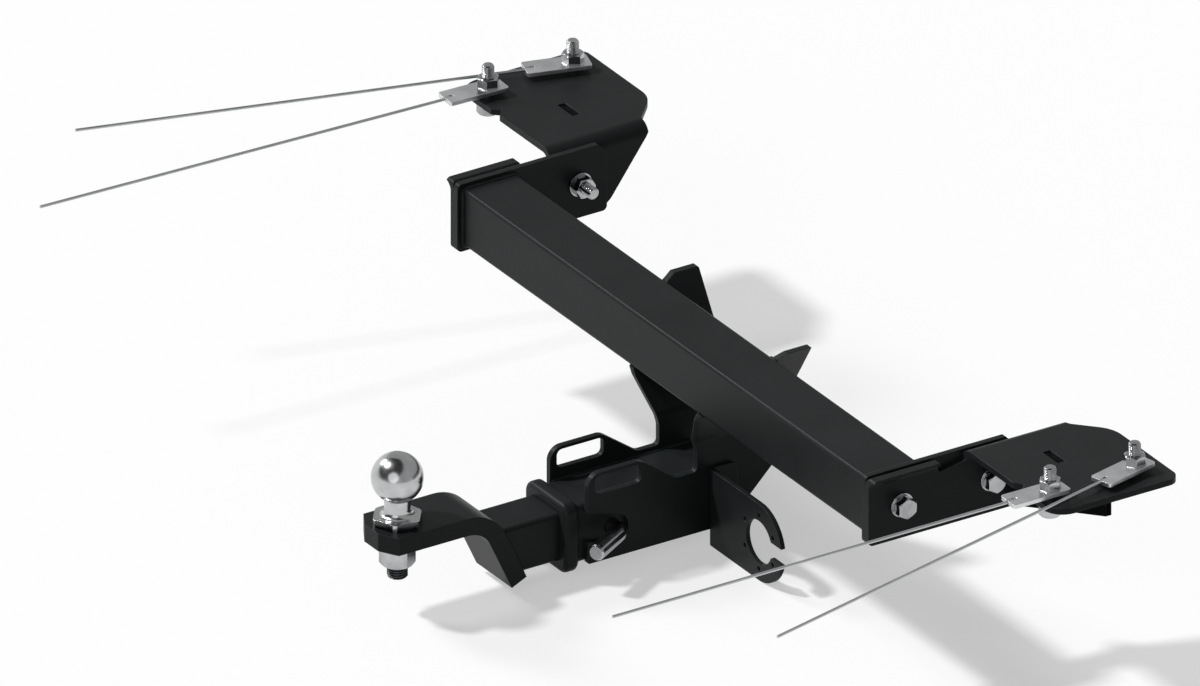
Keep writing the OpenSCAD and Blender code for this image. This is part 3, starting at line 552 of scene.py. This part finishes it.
class ThreadTree(GeometryTree):
    """Winds a screw thread: a grid rolled up along a helix, a crest and a root a turn, with a turned tip."""

    SIZES = ("Radius", "Depth", "Pitch", "Length", "Tip")
    COLUMNS = 32
    ROWS_A_TURN = 4
    # Rows 0 and 1 of each turn lie at the root and rows 2 and 3 on the crest
    LAST_ROOT_ROW = 1.5
    ROW_RISE = 0.15
    FLANK_RISE = 0.2
    MERGE = 1e-6

    def __init__(self) -> None:
        """Builds the tree. The tip lies at the origin and the thread runs up +Z."""
        super().__init__("wound_thread", *self.SIZES)
        calc = self.calc
        radius, depth, pitch, length, tip = (self.given[label] for label in self.SIZES)
        turns = calc("CEIL", calc("DIVIDE", length, pitch))
        rows = calc("MULTIPLY_ADD", turns, self.ROWS_A_TURN, 2 * self.ROWS_A_TURN + 1)
        sizes = {"Size X": 1.0, "Size Y": 1.0, "Vertices X": self.COLUMNS + 1, "Vertices Y": rows}
        grid = self.out("GeometryNodeMeshGrid", sizes)
        position = self.out("GeometryNodeInputPosition")
        place = self.add("ShaderNodeSeparateXYZ", {0: position}).outputs
        # The grid reaches from -0.5 to 0.5 along both axes
        across, along = (calc("ADD", place[axis], 0.5) for axis in "XY")
        row = calc("ROUND", calc("MULTIPLY", along, calc("SUBTRACT", rows, 1.0)))
        turn = calc("FLOOR", calc("DIVIDE", row, self.ROWS_A_TURN))
        step = calc("SUBTRACT", row, calc("MULTIPLY", turn, self.ROWS_A_TURN))
        crest = calc("GREATER_THAN", step, self.LAST_ROOT_ROW)
        phase = calc("MULTIPLY_ADD", crest, self.FLANK_RISE, calc("MULTIPLY", step, self.ROW_RISE))
        rise = calc("SUBTRACT", calc("ADD", calc("ADD", turn, phase), across), 1.0)
        height = calc("MINIMUM", calc("MAXIMUM", calc("MULTIPLY", rise, pitch), 0.0), length)
        wound = calc("SUBTRACT", radius, calc("MULTIPLY", depth, calc("SUBTRACT", 1.0, crest)))
        cone = calc("ADD", calc("SUBTRACT", radius, tip), height)
        reach = calc("MINIMUM", wound, cone)
        angle = calc("MULTIPLY", across, math.tau)
        x, y = (calc("MULTIPLY", reach, calc(part, angle)) for part in ("COSINE", "SINE"))
        spot = self.out("ShaderNodeCombineXYZ", {0: x, 1: y, 2: height})
        coil = self.out("GeometryNodeSetPosition", {"Geometry": grid, "Position": spot})
        self.close(self.out("GeometryNodeMergeByDistance", {"Geometry": coil, "Distance": self.MERGE}))


class BeadTree(GeometryTree):
    """Lays a weld bead along the object's edges: overlapping flattened drops with a slight unevenness."""

    SEED = 11
    DROP_DETAIL = 2
    WIDTHS = (0.88, 1.06)

    def __init__(self) -> None:
        """Builds the tree."""
        super().__init__("weld_bead", "Radius", "Pitch", "Flatness")
        curve = self.out("GeometryNodeMeshToCurve", {0: self.given["Geometry"]})
        spacing = {"Curve": curve, "Length": self.given["Pitch"]}
        even = self.out("GeometryNodeResampleCurve", spacing, mode="LENGTH")
        sizes = {"Radius": self.given["Radius"], "Subdivisions": self.DROP_DETAIL}
        drop = self.out("GeometryNodeMeshIcoSphere", sizes)
        tangent = self.out("GeometryNodeInputTangent")
        along = self.out("FunctionNodeAlignRotationToVector", {"Vector": tangent}, axis="X")
        uneven = self.add("FunctionNodeRandomValue", data_type="FLOAT")
        numbers = [s for s in uneven.inputs if s.enabled and s.name in ("Min", "Max", "Seed")]
        for socket, value in zip(numbers, (*self.WIDTHS, self.SEED)):
            socket.default_value = value
        width = next(s for s in uneven.outputs if s.enabled)
        size = self.out("ShaderNodeCombineXYZ", {0: self.given["Flatness"], 1: width, 2: width})
        drops = {"Points": even, "Instance": drop, "Rotation": along, "Scale": size}
        self.close(self.out("GeometryNodeInstanceOnPoints", drops))


class RowTree(GeometryTree):
    """Stands a copy of another object on each point of the object, turned alike."""

    def __init__(self) -> None:
        """Builds the tree."""
        super().__init__("fastener_row", "Turn X", "Turn Y", "Turn Z")
        self.socket("Source", "Object")
        given = {"Object": self.given["Source"]}
        copy = self.add("GeometryNodeObjectInfo", given, transform_space="ORIGINAL")
        turns = {i: self.given[f"Turn {axis}"] for i, axis in enumerate("XYZ")}
        turn = self.out("ShaderNodeCombineXYZ", turns)
        points = self.out("GeometryNodeMeshToPoints", {0: self.given["Geometry"]})
        rows = {"Points": points, "Instance": copy.outputs["Geometry"], "Rotation": turn}
        self.close(self.out("GeometryNodeInstanceOnPoints", rows))


@dataclass
class Workshop:
    """Lays weld beads, winds threads and stands fasteners in rows, with one tree for each."""

    beads: BeadTree = field(default_factory=BeadTree)
    threads: ThreadTree = field(default_factory=ThreadTree)
    rows: RowTree = field(default_factory=RowTree)
    # Spacing of a bead's drops over its radius, and their length over their width
    drop_pitch: float = 0.5
    drop_flatness: float = 0.6

    def lay(
        self, name: str, paths: Sequence[Path], radius: float = 2.6, closed: bool = False,
        body: str = FRAME_BODY, finish: Finish = WELD_COAT,
    ) -> None:
        """Lays beads along several paths as one piece.

        Args:
            name: The piece's name.
            paths: Points of each path.
            radius: Radius of the bead in millimetres.
            closed: Whether each path closes on itself.
            body: The CAD body that it rides on.
            finish: Its finish.
        """
        shape = Shape()
        for points in paths:
            ring = shape.ring(points)
            for a, b in zip(ring, ring[1:] + (ring[:1] if closed else [])):
                shape.build.edges.new((a, b))
        piece = shape.piece(name)
        pitch = radius * MM * self.drop_pitch
        self.beads.apply(piece, finish, Radius=radius * MM, Pitch=pitch, Flatness=self.drop_flatness)
        hand_over(piece, body, sharp=80.0)

    def stand(
        self, name: str, source: Piece, places: Path, turn: Triple, replaces: Sequence[str] = ()
    ) -> None:
        """Stands copies of a fastener on their places.

        Args:
            name: The piece's name.
            source: The fastener.
            places: Where the bolt heads' undersides are.
            turn: Euler turn of each copy.
            replaces: CAD nodes that the copies stand for.
        """
        shape = Shape()
        shape.ring(places)
        piece = shape.piece(name)
        self.rows.apply(piece, ZINC, Source=source, Turn_X=turn[0], Turn_Y=turn[1], Turn_Z=turn[2])
        hand_over(piece, replaces=replaces, sharp=28.0)


@dataclass(frozen=True)
class Hexagon:
    """Hexagon, its upper corners turned to a cone. Sizes in millimetres, slope in degrees."""

    flats: float
    height: float
    face: float
    slope: float = 30.0
    corner: float = math.inf
    bore: float = 0.0
    steps: int = 72

    def add(self, shape: Shape, place: Matrix, flat_slot: int = 0) -> None:
        """Adds the hexagon to a shape.

        Args:
            shape: The shape.
            place: Place of the hexagon, which stands on Z = 0 with a corner towards X.
            flat_slot: Material index of its flats.
        """
        columns, reaches = [], []
        for a in sweep(0.0, math.tau, self.steps)[:-1]:
            reach = min(self.flats / 2 / math.cos(a % (math.pi / 3) - math.pi / 6), self.corner)
            top = self.height - max(0.0, reach - self.face) * math.tan(math.radians(self.slope))
            outline = [(reach, 0.0), (reach, top), (min(self.face, reach), self.height)]
            if self.bore:
                outline += [(self.bore, self.height), (self.bore, 0.0)]
            columns.append([place @ (Vector((*polar(r, a), z)) * MM) for r, z in outline])
            reaches.append(reach)
        rings = [shape.ring(ring) for ring in zip(*columns)]
        if self.bore:
            flats = shape.skin(rings, looped=True)[0]
        else:
            foot, crown = (shape.ring([place @ Vector((0.0, 0.0, z * MM))]) for z in (0.0, self.height))
            flats = shape.skin([foot, *rings, crown])[1]
        for i, flat in enumerate(flats):
            turned = min(reaches[i], reaches[i + 1 - self.steps]) >= self.corner
            flat.material_index = 0 if turned else flat_slot


@dataclass(frozen=True)
class Rod:
    """Rod with a thread wound up from its tip. Sizes in millimetres."""

    radius: float
    length: float
    thread: float
    pitch: float
    depth: float
    steps: int = 40
    tip: float = 1.5
    overlap: float = 0.5

    def add(self, shape: Shape, shop: Workshop, tip: Vector) -> None:
        """Adds the rod to a shape.

        Args:
            shape: The shape.
            shop: Winds the thread.
            tip: Place of the rod's lower end.
        """
        place = Matrix.Translation(tip)
        shank = [(self.radius, self.thread - self.overlap), (self.radius, self.length)]
        shape.lathe(shank, self.steps, place)
        shape.lathe([(0.0, 0.0), (self.radius - self.tip, 0.0)], self.steps, place)
        sizes = (self.radius, self.depth, self.pitch, self.thread, self.tip)
        thread = Shape().piece("thread_source")
        # The thread's faces have material index 1, so they take the second finish of a shape with two
        shop.threads.apply(thread, ZINC, **{label: size * MM for label, size in zip(ThreadTree.SIZES, sizes)})
        thread.data.transform(place)
        shape.build.from_mesh(thread.data)
        bpy.data.objects.remove(thread)


@dataclass
class Assembly:
    """A sub-assembly and the workshop that dresses it. Sizes in millimetres, turns in degrees."""

    shop: Workshop


@dataclass
class Crossbar(Assembly):
    """Square crossbar with a plate welded across each end."""

    half_length: float = 352.5
    half_size: float = 30.0
    corner: float = 4.0
    weld_inset: float = 0.4

    def dress(self) -> None:
        """Coats the crossbar and its end plates and lays the end welds."""
        put_on(COAT, "crossbar", "left_side_plate", "right_side_plate")
        for side in Side:
            x = (self.half_length - self.weld_inset) * side.value
            ring = [seat(x, y, z) for y, z in round_square(self.half_size, self.corner)]
            self.shop.lay(f"{side.word}_crossbar_weld", [ring], closed=True)


@dataclass
class ChassisBrackets(Assembly):
    """Folded bracket and rib of each side."""

    web_outer: float = 364.5
    tip: float = 520.0
    flange_bottom: float = 32.7
    fold: float = 8.5
    foot: float = -35.5
    rib_faces: Pair = (128.5, 134.5)
    weld_gaps: Triple = (2.0, 4.0, 3.0)

    def dress(self) -> None:
        """Coats brackets and ribs and lays the ribs' welds."""
        bend_gap, tip_gap, foot_gap = self.weld_gaps
        bend = self.fold + bend_gap
        under = ((self.web_outer + bend, self.flange_bottom), (self.tip - tip_gap, self.flange_bottom))
        upright = ((self.web_outer, self.foot + foot_gap), (self.web_outer, self.flange_bottom - bend))
        for side in Side:
            put_on(COAT, f"{side.word}_chassis_bracket")
            # The ribs get the darker copy of the coat: painted shade in the flanges' slots
            put_on(SHADED_RIB_COAT, f"{side.word}_bracket_rib")
            corners = [(y, line) for y in self.rib_faces for line in (under, upright)]
            seams = [[seat(x * side.value, y, z) for x, z in line] for y, line in corners]
            self.shop.lay(f"{side.word}_rib_weld", seams, 2.4)


@dataclass
class Receiver(Assembly):
    """Receiver tube with collar, gussets and socket plate."""

    half: float = 30.0
    corner: float = 6.0
    drop: float = 137.3
    front: float = 16.0
    collar_rear: float = -163.2
    collar_front: float = -147.7
    collar_wall: float = 6.6
    collar_round: float = 4.8
    collar_steps: int = 8
    gusset_rear: float = -136.0
    gusset_outer: float = 36.0
    lean: float = 32.0
    bends: tuple[Pair, Pair] = ((31.82, -68.04), (36.91, -71.22))
    crossbar_half: float = 30.0
    crossbar_reach: float = 27.0
    tube_seams: tuple[Pair, Pair] = ((29.4, 28.6), (29.2, -27.4))
    seam_start: float = 3.0
    socket_front: float = 25.2
    socket_levels: Pair = (-160.0, -112.0)

    def tube_ring(self, y: float, out: float = 0.0, steps: int = 5) -> list[Vector]:
        """Points round the tube at a depth, or outside it.

        Args:
            y: Depth in front of the crossbar's axis.
            out: Distance outside the tube.
            steps: Steps along each corner.

        Returns:
            The points.
        """
        corner = self.corner + out * self.corner / self.collar_wall
        return [seat(x, y, z - self.drop) for x, z in round_square(self.half + out, corner, steps)]

    def collar(self) -> None:
        """Builds the collar: a band with well rounded edges round the tube's mouth."""
        shape, flat = Shape(), self.collar_wall - self.collar_round
        section = [(0.0, self.collar_rear)]
        for a in sweep(0.0, QUARTER, self.collar_steps):
            back, out = polar(self.collar_round, a)
            section.append((flat + out, self.collar_rear + self.collar_round - back))
        section += [(out, self.collar_rear + self.collar_front - y) for out, y in reversed(section)]
        shape.skin([shape.ring(self.tube_ring(y, out, self.collar_steps)) for out, y in section], looped=True)
        shape.face_outwards()
        piece = shape.piece("rounded_collar", COAT)
        hand_over(piece, replaces=("receiver_collar",), sharp=50.0)

    def gusset_seams(self) -> list[list[Triple]]:
        """Weld lines of the right gusset's two faces.

        Returns:
            The lines along the receiver, then those under and up the crossbar.
        """
        seams = [[(x, y, z - self.drop) for y in (self.gusset_rear, self.front)] for x, z in self.tube_seams]
        under, front, top = -self.crossbar_half, self.crossbar_half, self.crossbar_reach
        slope = math.tan(math.radians(self.lean))
        for x, level in self.bends:
            low, high = (x + slope * (z - level) for z in (under, top))
            seams.append([(low, under + self.seam_start, under), (low, front, under), (high, front, top)])
        return seams

    def dress(self) -> None:
        """Coats the receiver's plates and tube, builds its collar and lays the welds."""
        put_on(COAT, "receiver_tube", "left_gusset", "right_gusset", "socket_plate")
        self.collar()
        self.shop.lay("collar_weld", [self.tube_ring(self.collar_front)], closed=True)
        for side in Side:
            seams = [[seat(x * side.value, y, z) for x, y, z in seam] for seam in self.gusset_seams()]
            self.shop.lay(f"{side.word}_gusset_weld", seams)
        line = [seat(self.gusset_outer, self.socket_front, z) for z in self.socket_levels]
        self.shop.lay("socket_plate_weld", [line], 2.2)


@dataclass
class BallMount(Assembly):
    """Tongue, shank, tow ball, spring washer and nut."""

    # In the row frame, in metres
    centre: Vector = field(default_factory=lambda: seat(0.0, -327.1, -39.2))
    ball: float = 25.0
    flat: float = 7.0
    neck: float = 12.5
    fillet: float = 6.5
    # Two rings past the fillet's foot that sink the neck into the collar
    skirt: tuple[Pair, Pair] = ((0.4, -0.3), (0.2, 0.05))
    seat_drop: float = 46.8
    collar: Hexagon = Hexagon(flats=44.0, height=8.0, face=21.8, slope=14.0, corner=24.27)
    collar_turn: float = 22.5
    stud: Rod = Rod(radius=10.0, length=57.0, thread=35.0, pitch=2.5, depth=1.5, steps=48)
    ball_steps: int = 48
    fillet_steps: int = 8
    round_steps: int = 128
    shank_half: float = 25.0
    shank_rear: tuple[Pair, Pair] = ((-227.2, -112.3), (-204.1, -162.3))

    def profile(self) -> list[Pair]:
        """Works out the turned ball and neck.

        Returns:
            Radius and height of each ring, from the collar up.
        """
        top, foot = self.collar.height - self.seat_drop, self.neck + self.fillet
        points = [(foot + out, top + rise) for out, rise in self.skirt]
        for a in sweep(0.0, QUARTER, self.fillet_steps):
            back, out = polar(self.fillet, a)
            points.append((foot - out, top + self.fillet - back))
        low, high = -math.acos(self.neck / self.ball), math.acos(self.flat / self.ball)
        points += [polar(self.ball, a) for a in sweep(low, high, self.ball_steps)]
        return [*points, (0.0, points[-1][1])]

    def build_ball(self) -> None:
        """Builds the ball with its neck, hexagon collar and threaded stud."""
        shape = Shape()
        shape.lathe(self.profile(), self.round_steps, Matrix.Translation(self.centre))
        low = self.centre - Vector((0, 0, self.seat_drop * MM))
        turn = Matrix.Rotation(math.radians(self.collar_turn), 4, "Z")
        # The collar's flats and the stud's thread take the second finish, a painted dark reflection
        self.collar.add(shape, Matrix.Translation(low) @ turn, flat_slot=1)
        self.stud.add(shape, self.shop, low - Vector((0, 0, self.stud.length * MM)))
        piece = shape.piece("turned_tow_ball", BALL_STEEL, DARK_REFLECTION_FLATS)
        hand_over(piece, replaces=("tow_ball",), sharp=25.0)

    def dress(self) -> None:
        """Coats the mount, plates its nut and washer, and builds the ball and the weld on the shank."""
        put_on(COAT, "ball_mount_tongue", "ball_mount_shank")
        put_on(ZINC, "ball_nut", "ball_spring_washer")
        self.build_ball()
        half, (top, low) = self.shank_half, self.shank_rear
        corners = [seat(half, *top), seat(-half, *top), seat(-half, *low), seat(half, *low)]
        self.shop.lay("shank_weld", [corners], 2.4, closed=True)


@dataclass
class HitchPin(Assembly):
    """Hitch pin, its handle bent to the rear, and its clip."""

    y: float = -108.0
    z: float = -137.3
    radius: float = 8.0
    tail: float = -52.0
    corner: float = 45.0
    bend_radius: float = 12.0
    bend: float = 60.0
    handle: float = 50.0
    tip: float = 1.5
    bend_steps: int = 16
    round_steps: int = 48

    def stations(self) -> list[tuple[Pair, float, float]]:
        """Works out the rings from the tail to the handle's end.

        Returns:
            Middle, heading in radians towards the rear, and radius of each ring.
        """
        bend = math.radians(self.bend)
        cut = self.bend_radius * math.tan(bend / 2)
        start, small = self.corner - cut, self.radius - self.tip
        stations = [((self.tail, 0.0), 0.0, small), ((self.tail + self.tip, 0.0), 0.0, self.radius)]
        for a in sweep(0.0, bend, self.bend_steps):
            back, out = polar(self.bend_radius, a)
            stations.append(((start + out, back - self.bend_radius), a, self.radius))
        (x, y), end = stations[-1][0], self.handle - cut
        for along, radius in ((end - self.tip, self.radius), (end, small)):
            stations.append(((x + along * math.cos(bend), y - along * math.sin(bend)), bend, radius))
        return stations

    def build(self) -> None:
        """Builds the pin."""
        shape, rings = Shape(), []
        turns = sweep(0.0, math.tau, self.round_steps)[:-1]
        for (x, y), heading, radius in self.stations():
            ring = []
            for a in turns:
                aside, up = polar(radius, a)
                spot = (x + aside * math.sin(heading), y + aside * math.cos(heading) + self.y, up + self.z)
                ring.append(seat(*spot))
            rings.append(shape.ring(ring))
        shape.skin(rings, capped=True)
        piece = shape.piece("bent_hitch_pin", ZINC)
        hand_over(piece, "hitch_pin", replaces=("hitch_pin",))

    def dress(self) -> None:
        """Builds the pin and plates its clip."""
        self.build()
        put_on(ZINC, "hitch_pin_clip")


@dataclass(frozen=True)
class M12:
    """Hexagon, hole and rod of the M12 fasteners. Sizes in millimetres."""

    flats: float = 19.0
    face: float = 8.93
    head: float = 7.5
    radius: float = 6.0
    bore: float = 6.05
    pitch: float = 1.75
    depth: float = 1.0
    sink: float = 0.1

    def bolt(self, name: str, length: float, thread: float, shop: Workshop) -> Piece:
        """Builds a bolt as a source object for rows, its head's underside at the origin.

        Args:
            name: Name of the source object.
            length: Length under the head.
            thread: Length of the thread.
            shop: Winds the thread.

        Returns:
            The source object, which is removed once its rows are made.
        """
        shape = Shape()
        Hexagon(self.flats, self.head, self.face).add(shape, Matrix.Identity(4))
        rod = Rod(self.radius, length + self.sink, thread, self.pitch, self.depth)
        rod.add(shape, shop, Vector((0, 0, -length * MM)))
        return shape.piece(name)


@dataclass
class BoltSet(Assembly):
    """Side bolts and chassis bolts with their washers and nuts."""

    side_head: float = 370.0
    side_places: Pair = (0.0, 99.5)
    side_thread: float = 24.0
    rail_x: float = 490.0
    rail_head: float = 27.2
    rail_places: Pair = (85.5, 179.5)
    rail_thread: float = 26.0
    bolt_length: float = 43.0
    spring_radii: Pair = (6.5, 10.5)
    spring_height: float = 3.0
    spring_split: float = 2.0
    spring_steps: int = 60

    def spring_washer(self) -> Piece:
        """Builds a split spring washer as a source object for rows.

        Returns:
            The source object, which is removed once its rows are made.
        """
        shape, (inner, outer), low = Shape(), self.spring_radii, -self.spring_height
        gap = self.spring_split / outer / 2
        section = ((inner, low), (outer, low), (outer, 0.0), (inner, 0.0))
        turns = sweep(gap, math.tau - gap, self.spring_steps)
        spots = [[Vector((*polar(r, a), z)) * MM for r, z in section] for a in turns]
        shape.skin([shape.ring(ring) for ring in spots], capped=True)
        return shape.piece("spring_washer_source")

    def dress(self) -> None:
        """Plates nuts and washers, and builds the bolts and the spring washers."""
        side_bolt = M12().bolt("side_bolt_source", self.bolt_length, self.side_thread, self.shop)
        rail_bolt = M12().bolt("rail_bolt_source", self.bolt_length, self.rail_thread, self.shop)
        spring = self.spring_washer()
        for side in Side:
            word, s = side.word, side.value
            put_on(ZINC, f"{word}_side_nuts", f"{word}_side_washers", f"{word}_chassis_washers")
            out = [seat(s * self.side_head, y, 0.0) for y in self.side_places]
            under = [seat(s * self.rail_x, y, self.rail_head) for y in self.rail_places]
            rows = (
                ("side", side_bolt, out, (0.0, s * QUARTER, 0.0)),
                ("chassis", rail_bolt, under, (math.pi, 0.0, 0.0)),
            )
            for kind, bolt, places, turn in rows:
                node = f"{word}_{kind}_bolts"
                self.shop.stand(f"{node}_threaded", bolt, places, turn, replaces=(node,))
            for kind, _, places, turn in rows:
                self.shop.stand(f"{word}_{kind}_washers_sprung", spring, places, turn)
        for source in (side_bolt, rail_bolt, spring):
            bpy.data.objects.remove(source)


@dataclass
class NutPlates(Assembly):
    """Four zinc plated strips with welded nut and pull wire."""

    rail_x: float = 490.0
    # Place of each strip along the rail, and its turn outwards on the left and on the right side
    places: tuple[tuple[str, float, float, float], ...] = (
        ("rear", 85.5, 2.2, 0.0), ("front", 179.5, 16.0, 14.0),
    )
    level: float = 47.5
    nut_turn: float = 23.0
    nut_beads: tuple[float, ...] = (30.0, 150.0, 270.0)
    nut_bead_gap: float = 0.3
    nut_bead_half: float = 3.6
    wire_bead_x: float = 1.7
    wire_bead_y: Pair = (-42.5, -46.7)
    wire_bead_drop: float = 0.9

    def nut(self, body: str, turn: float) -> None:
        """Builds the nut that is welded on a strip.

        Args:
            body: Body of the strip.
            turn: Turn of the nut in radians.
        """
        node, sizes = body.replace("nut_plate", "weld_nut"), M12()
        low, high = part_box(node)
        foot = Vector(((low.x + high.x) / 2, (low.y + high.y) / 2, low.z))
        shape = Shape()
        hexagon = Hexagon(sizes.flats, (high.z - low.z) / MM, sizes.face, bore=sizes.bore)
        hexagon.add(shape, Matrix.Translation(foot) @ Matrix.Rotation(turn, 4, "Z"))
        piece = shape.piece(body.replace("nut_plate", "turned_nut"), ZINC)
        hand_over(piece, body, replaces=(node,), sharp=25.0)

    def seams(self) -> list[list[Vector]]:
        """Works out the weld lines of a strip, from its bolt's axis.

        Returns:
            The lines on three flats of the nut, then those on both sides of the wire.
        """
        seams, out, half = [], M12().flats / 2 + self.nut_bead_gap, self.nut_bead_half
        for flat in self.nut_beads:
            turn = Matrix.Rotation(math.radians(flat + self.nut_turn), 3, "Z")
            seams.append([turn @ Vector((out, step, self.level)) for step in (-half, half)])
        for x in (-self.wire_bead_x, self.wire_bead_x):
            seams.append([Vector((x, y, self.level - self.wire_bead_drop)) for y in self.wire_bead_y])
        return seams

    def dress(self) -> None:
        """Dresses strips and wires, builds the nuts and lays the small welds."""
        for side in Side:
            for place, y, left, right in self.places:
                body = f"{side.word}_{place}_nut_plate"
                put_on(ZINC_STRIP, body)
                put_on(WIRE, f"{side.word}_{place}_pull_wire")
                angle = math.radians(left if side is Side.LEFT else right) * side.value
                self.nut(body, angle + math.radians(self.nut_turn))
                origin, turn = seat(side.value * self.rail_x, y, 0.0), Matrix.Rotation(angle, 3, "Z")
                seams = [[origin + turn @ spot * MM for spot in seam] for seam in self.seams()]
                self.shop.lay(f"{body}_welds", seams, 1.0, body=body, finish=ZINC_STRIP)


@dataclass(frozen=True)
class Lamp:
    """Distant soft lamp: the direction that it stands in, its strength and its width in degrees."""

    name: str
    source: Triple
    energy: float
    angle: float
    distance: float = 2.0

    def hang(self) -> None:
        """Adds the lamp to the scene."""
        data = bpy.data.lights.new(self.name, "SUN")
        data.energy = self.energy
        data.angle = math.radians(self.angle)
        lamp = bpy.data.objects.new(self.name, data)
        lamp.rotation_mode = "QUATERNION"
        lamp.rotation_quaternion = Vector(self.source).to_track_quat("Z", "Y")
        lamp.location = Vector(self.source) * self.distance
        bpy.context.scene.collection.objects.link(lamp)


@dataclass
class Studio:
    """Pale floor, soft light and the camera at the photograph's angle."""

    target: Triple = (-0.0662, -0.1925, -0.0387)
    towards: Triple = (0.751, -0.478, 0.4555)
    distance: float = 3.0
    width: float = 1.1236
    clip: Pair = (0.05, 60.0)
    lamps: tuple[Lamp, ...] = (
        Lamp("key", (-0.372, -0.469, 0.800), 2.4, 6.0),
        Lamp("rim", (-0.751, -0.304, 0.586), 1.0, 16.0),
        Lamp("fill", (0.582, -0.7145, 0.389), 0.5, 45.0),
    )
    ambient: float = 0.12
    # What metal reflects: a grey room with a pale wall and a dark ceiling, each in its direction
    room: float = 0.44
    wall: Triple = (-1.0, -0.3, -0.2)
    wall_edge: Pair = (0.62, 0.90)
    wall_light: float = 0.50
    ceiling: Triple = (0.0, -0.55, 0.835)
    ceiling_edge: Pair = (0.56, 0.66)
    ceiling_shade: float = 0.90
    floor_gap: float = 0.0004
    floor_half: float = 20.0
    floor_seen: float = 0.54
    floor_glow: float = 0.46
    floor_bounce: float = 0.09

    def camera(self) -> None:
        """Sets up the parallel camera."""
        data = bpy.data.cameras.new("camera")
        data.type = "ORTHO"
        data.ortho_scale = self.width
        data.clip_start, data.clip_end = self.clip
        camera = bpy.data.objects.new("camera", data)
        towards = Vector(self.towards).normalized()
        camera.rotation_mode = "QUATERNION"
        camera.location = Vector(self.target) + towards * self.distance
        camera.rotation_quaternion = (-towards).to_track_quat("-Z", "Y")
        bpy.context.scene.collection.objects.link(camera)
        bpy.context.scene.camera = camera

    def world(self) -> None:
        """Sets up the world: plain ambient light, white for the camera, and a room for what reflects it."""
        world = bpy.data.worlds.new("studio")
        world.use_nodes = True
        bpy.context.scene.world = world
        book = NodeBook(world.node_tree)
        calc = book.calc
        way = book.add("ShaderNodeTexCoord").outputs["Generated"]
        path = book.add("ShaderNodeLightPath").outputs
        wall, ceiling = (
            book.span(book.dot(way, tuple(Vector(direction).normalized())), edge)
            for direction, edge in ((self.wall, self.wall_edge), (self.ceiling, self.ceiling_edge))
        )
        grey = calc("ADD", self.room, calc("MULTIPLY", wall, self.wall_light))
        open_share = calc("SUBTRACT", 1.0, calc("MULTIPLY", ceiling, self.ceiling_shade))
        glossy = book.any_of(path["Is Glossy Ray"], path["Is Transmission Ray"])
        plain = calc("MULTIPLY_ADD", path["Is Camera Ray"], 1.0 - self.ambient, self.ambient)
        kept = calc("MULTIPLY", plain, calc("SUBTRACT", 1.0, glossy))
        strength = calc("MULTIPLY_ADD", calc("MULTIPLY", grey, open_share), glossy, kept)
        light = book.out("ShaderNodeBackground", {"Color": WHITE, "Strength": strength})
        book.add("ShaderNodeOutputWorld", {"Surface": light})

    def floor(self) -> None:
        """Lays the pale floor, white where the light falls, which keeps the object's shadow."""
        level = Matrix.Translation((0, 0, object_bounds()[0].z - self.floor_gap))
        shape = Shape()
        bmesh.ops.create_grid(shape.build, x_segments=1, y_segments=1, size=self.floor_half, matrix=level)
        floor = shape.piece("floor")
        material = bpy.data.materials.new("pale_floor")
        material.use_nodes = True
        book = NodeBook(material.node_tree)
        path = book.add("ShaderNodeLightPath").outputs
        seen = book.any_of(path["Is Camera Ray"], path["Is Glossy Ray"], path["Is Transmission Ray"])
        shown, dim = (
            book.out("ShaderNodeBsdfDiffuse", {"Color": (grey, grey, grey, 1.0)})
            for grey in (self.floor_seen, self.floor_bounce)
        )
        glow = book.out("ShaderNodeEmission", {"Color": WHITE, "Strength": self.floor_glow})
        pale = book.out("ShaderNodeAddShader", {0: shown, 1: glow})
        both = book.out("ShaderNodeMixShader", {0: seen, 1: dim, 2: pale})
        book.add("ShaderNodeOutputMaterial", {"Surface": both})
        floor.data.materials.append(material)
        floor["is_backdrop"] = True

    def set_up(self) -> None:
        """Sets up camera, lamps, world and floor."""
        bpy.context.scene.view_settings.view_transform = "Standard"
        self.camera()
        for lamp in self.lamps:
            lamp.hang()
        self.world()
        self.floor()
        LOG.info("studio ready")


def main() -> None:
    """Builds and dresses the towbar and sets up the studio."""
    logging.basicConfig(level=logging.INFO, format="%(name)s: %(message)s")
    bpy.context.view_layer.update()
    Studio().set_up()
    shop = Workshop()
    for part in (Crossbar, ChassisBrackets, Receiver, BallMount, HitchPin, BoltSet, NutPlates):
        part(shop).dress()


if __name__ == "__main__":
    main()
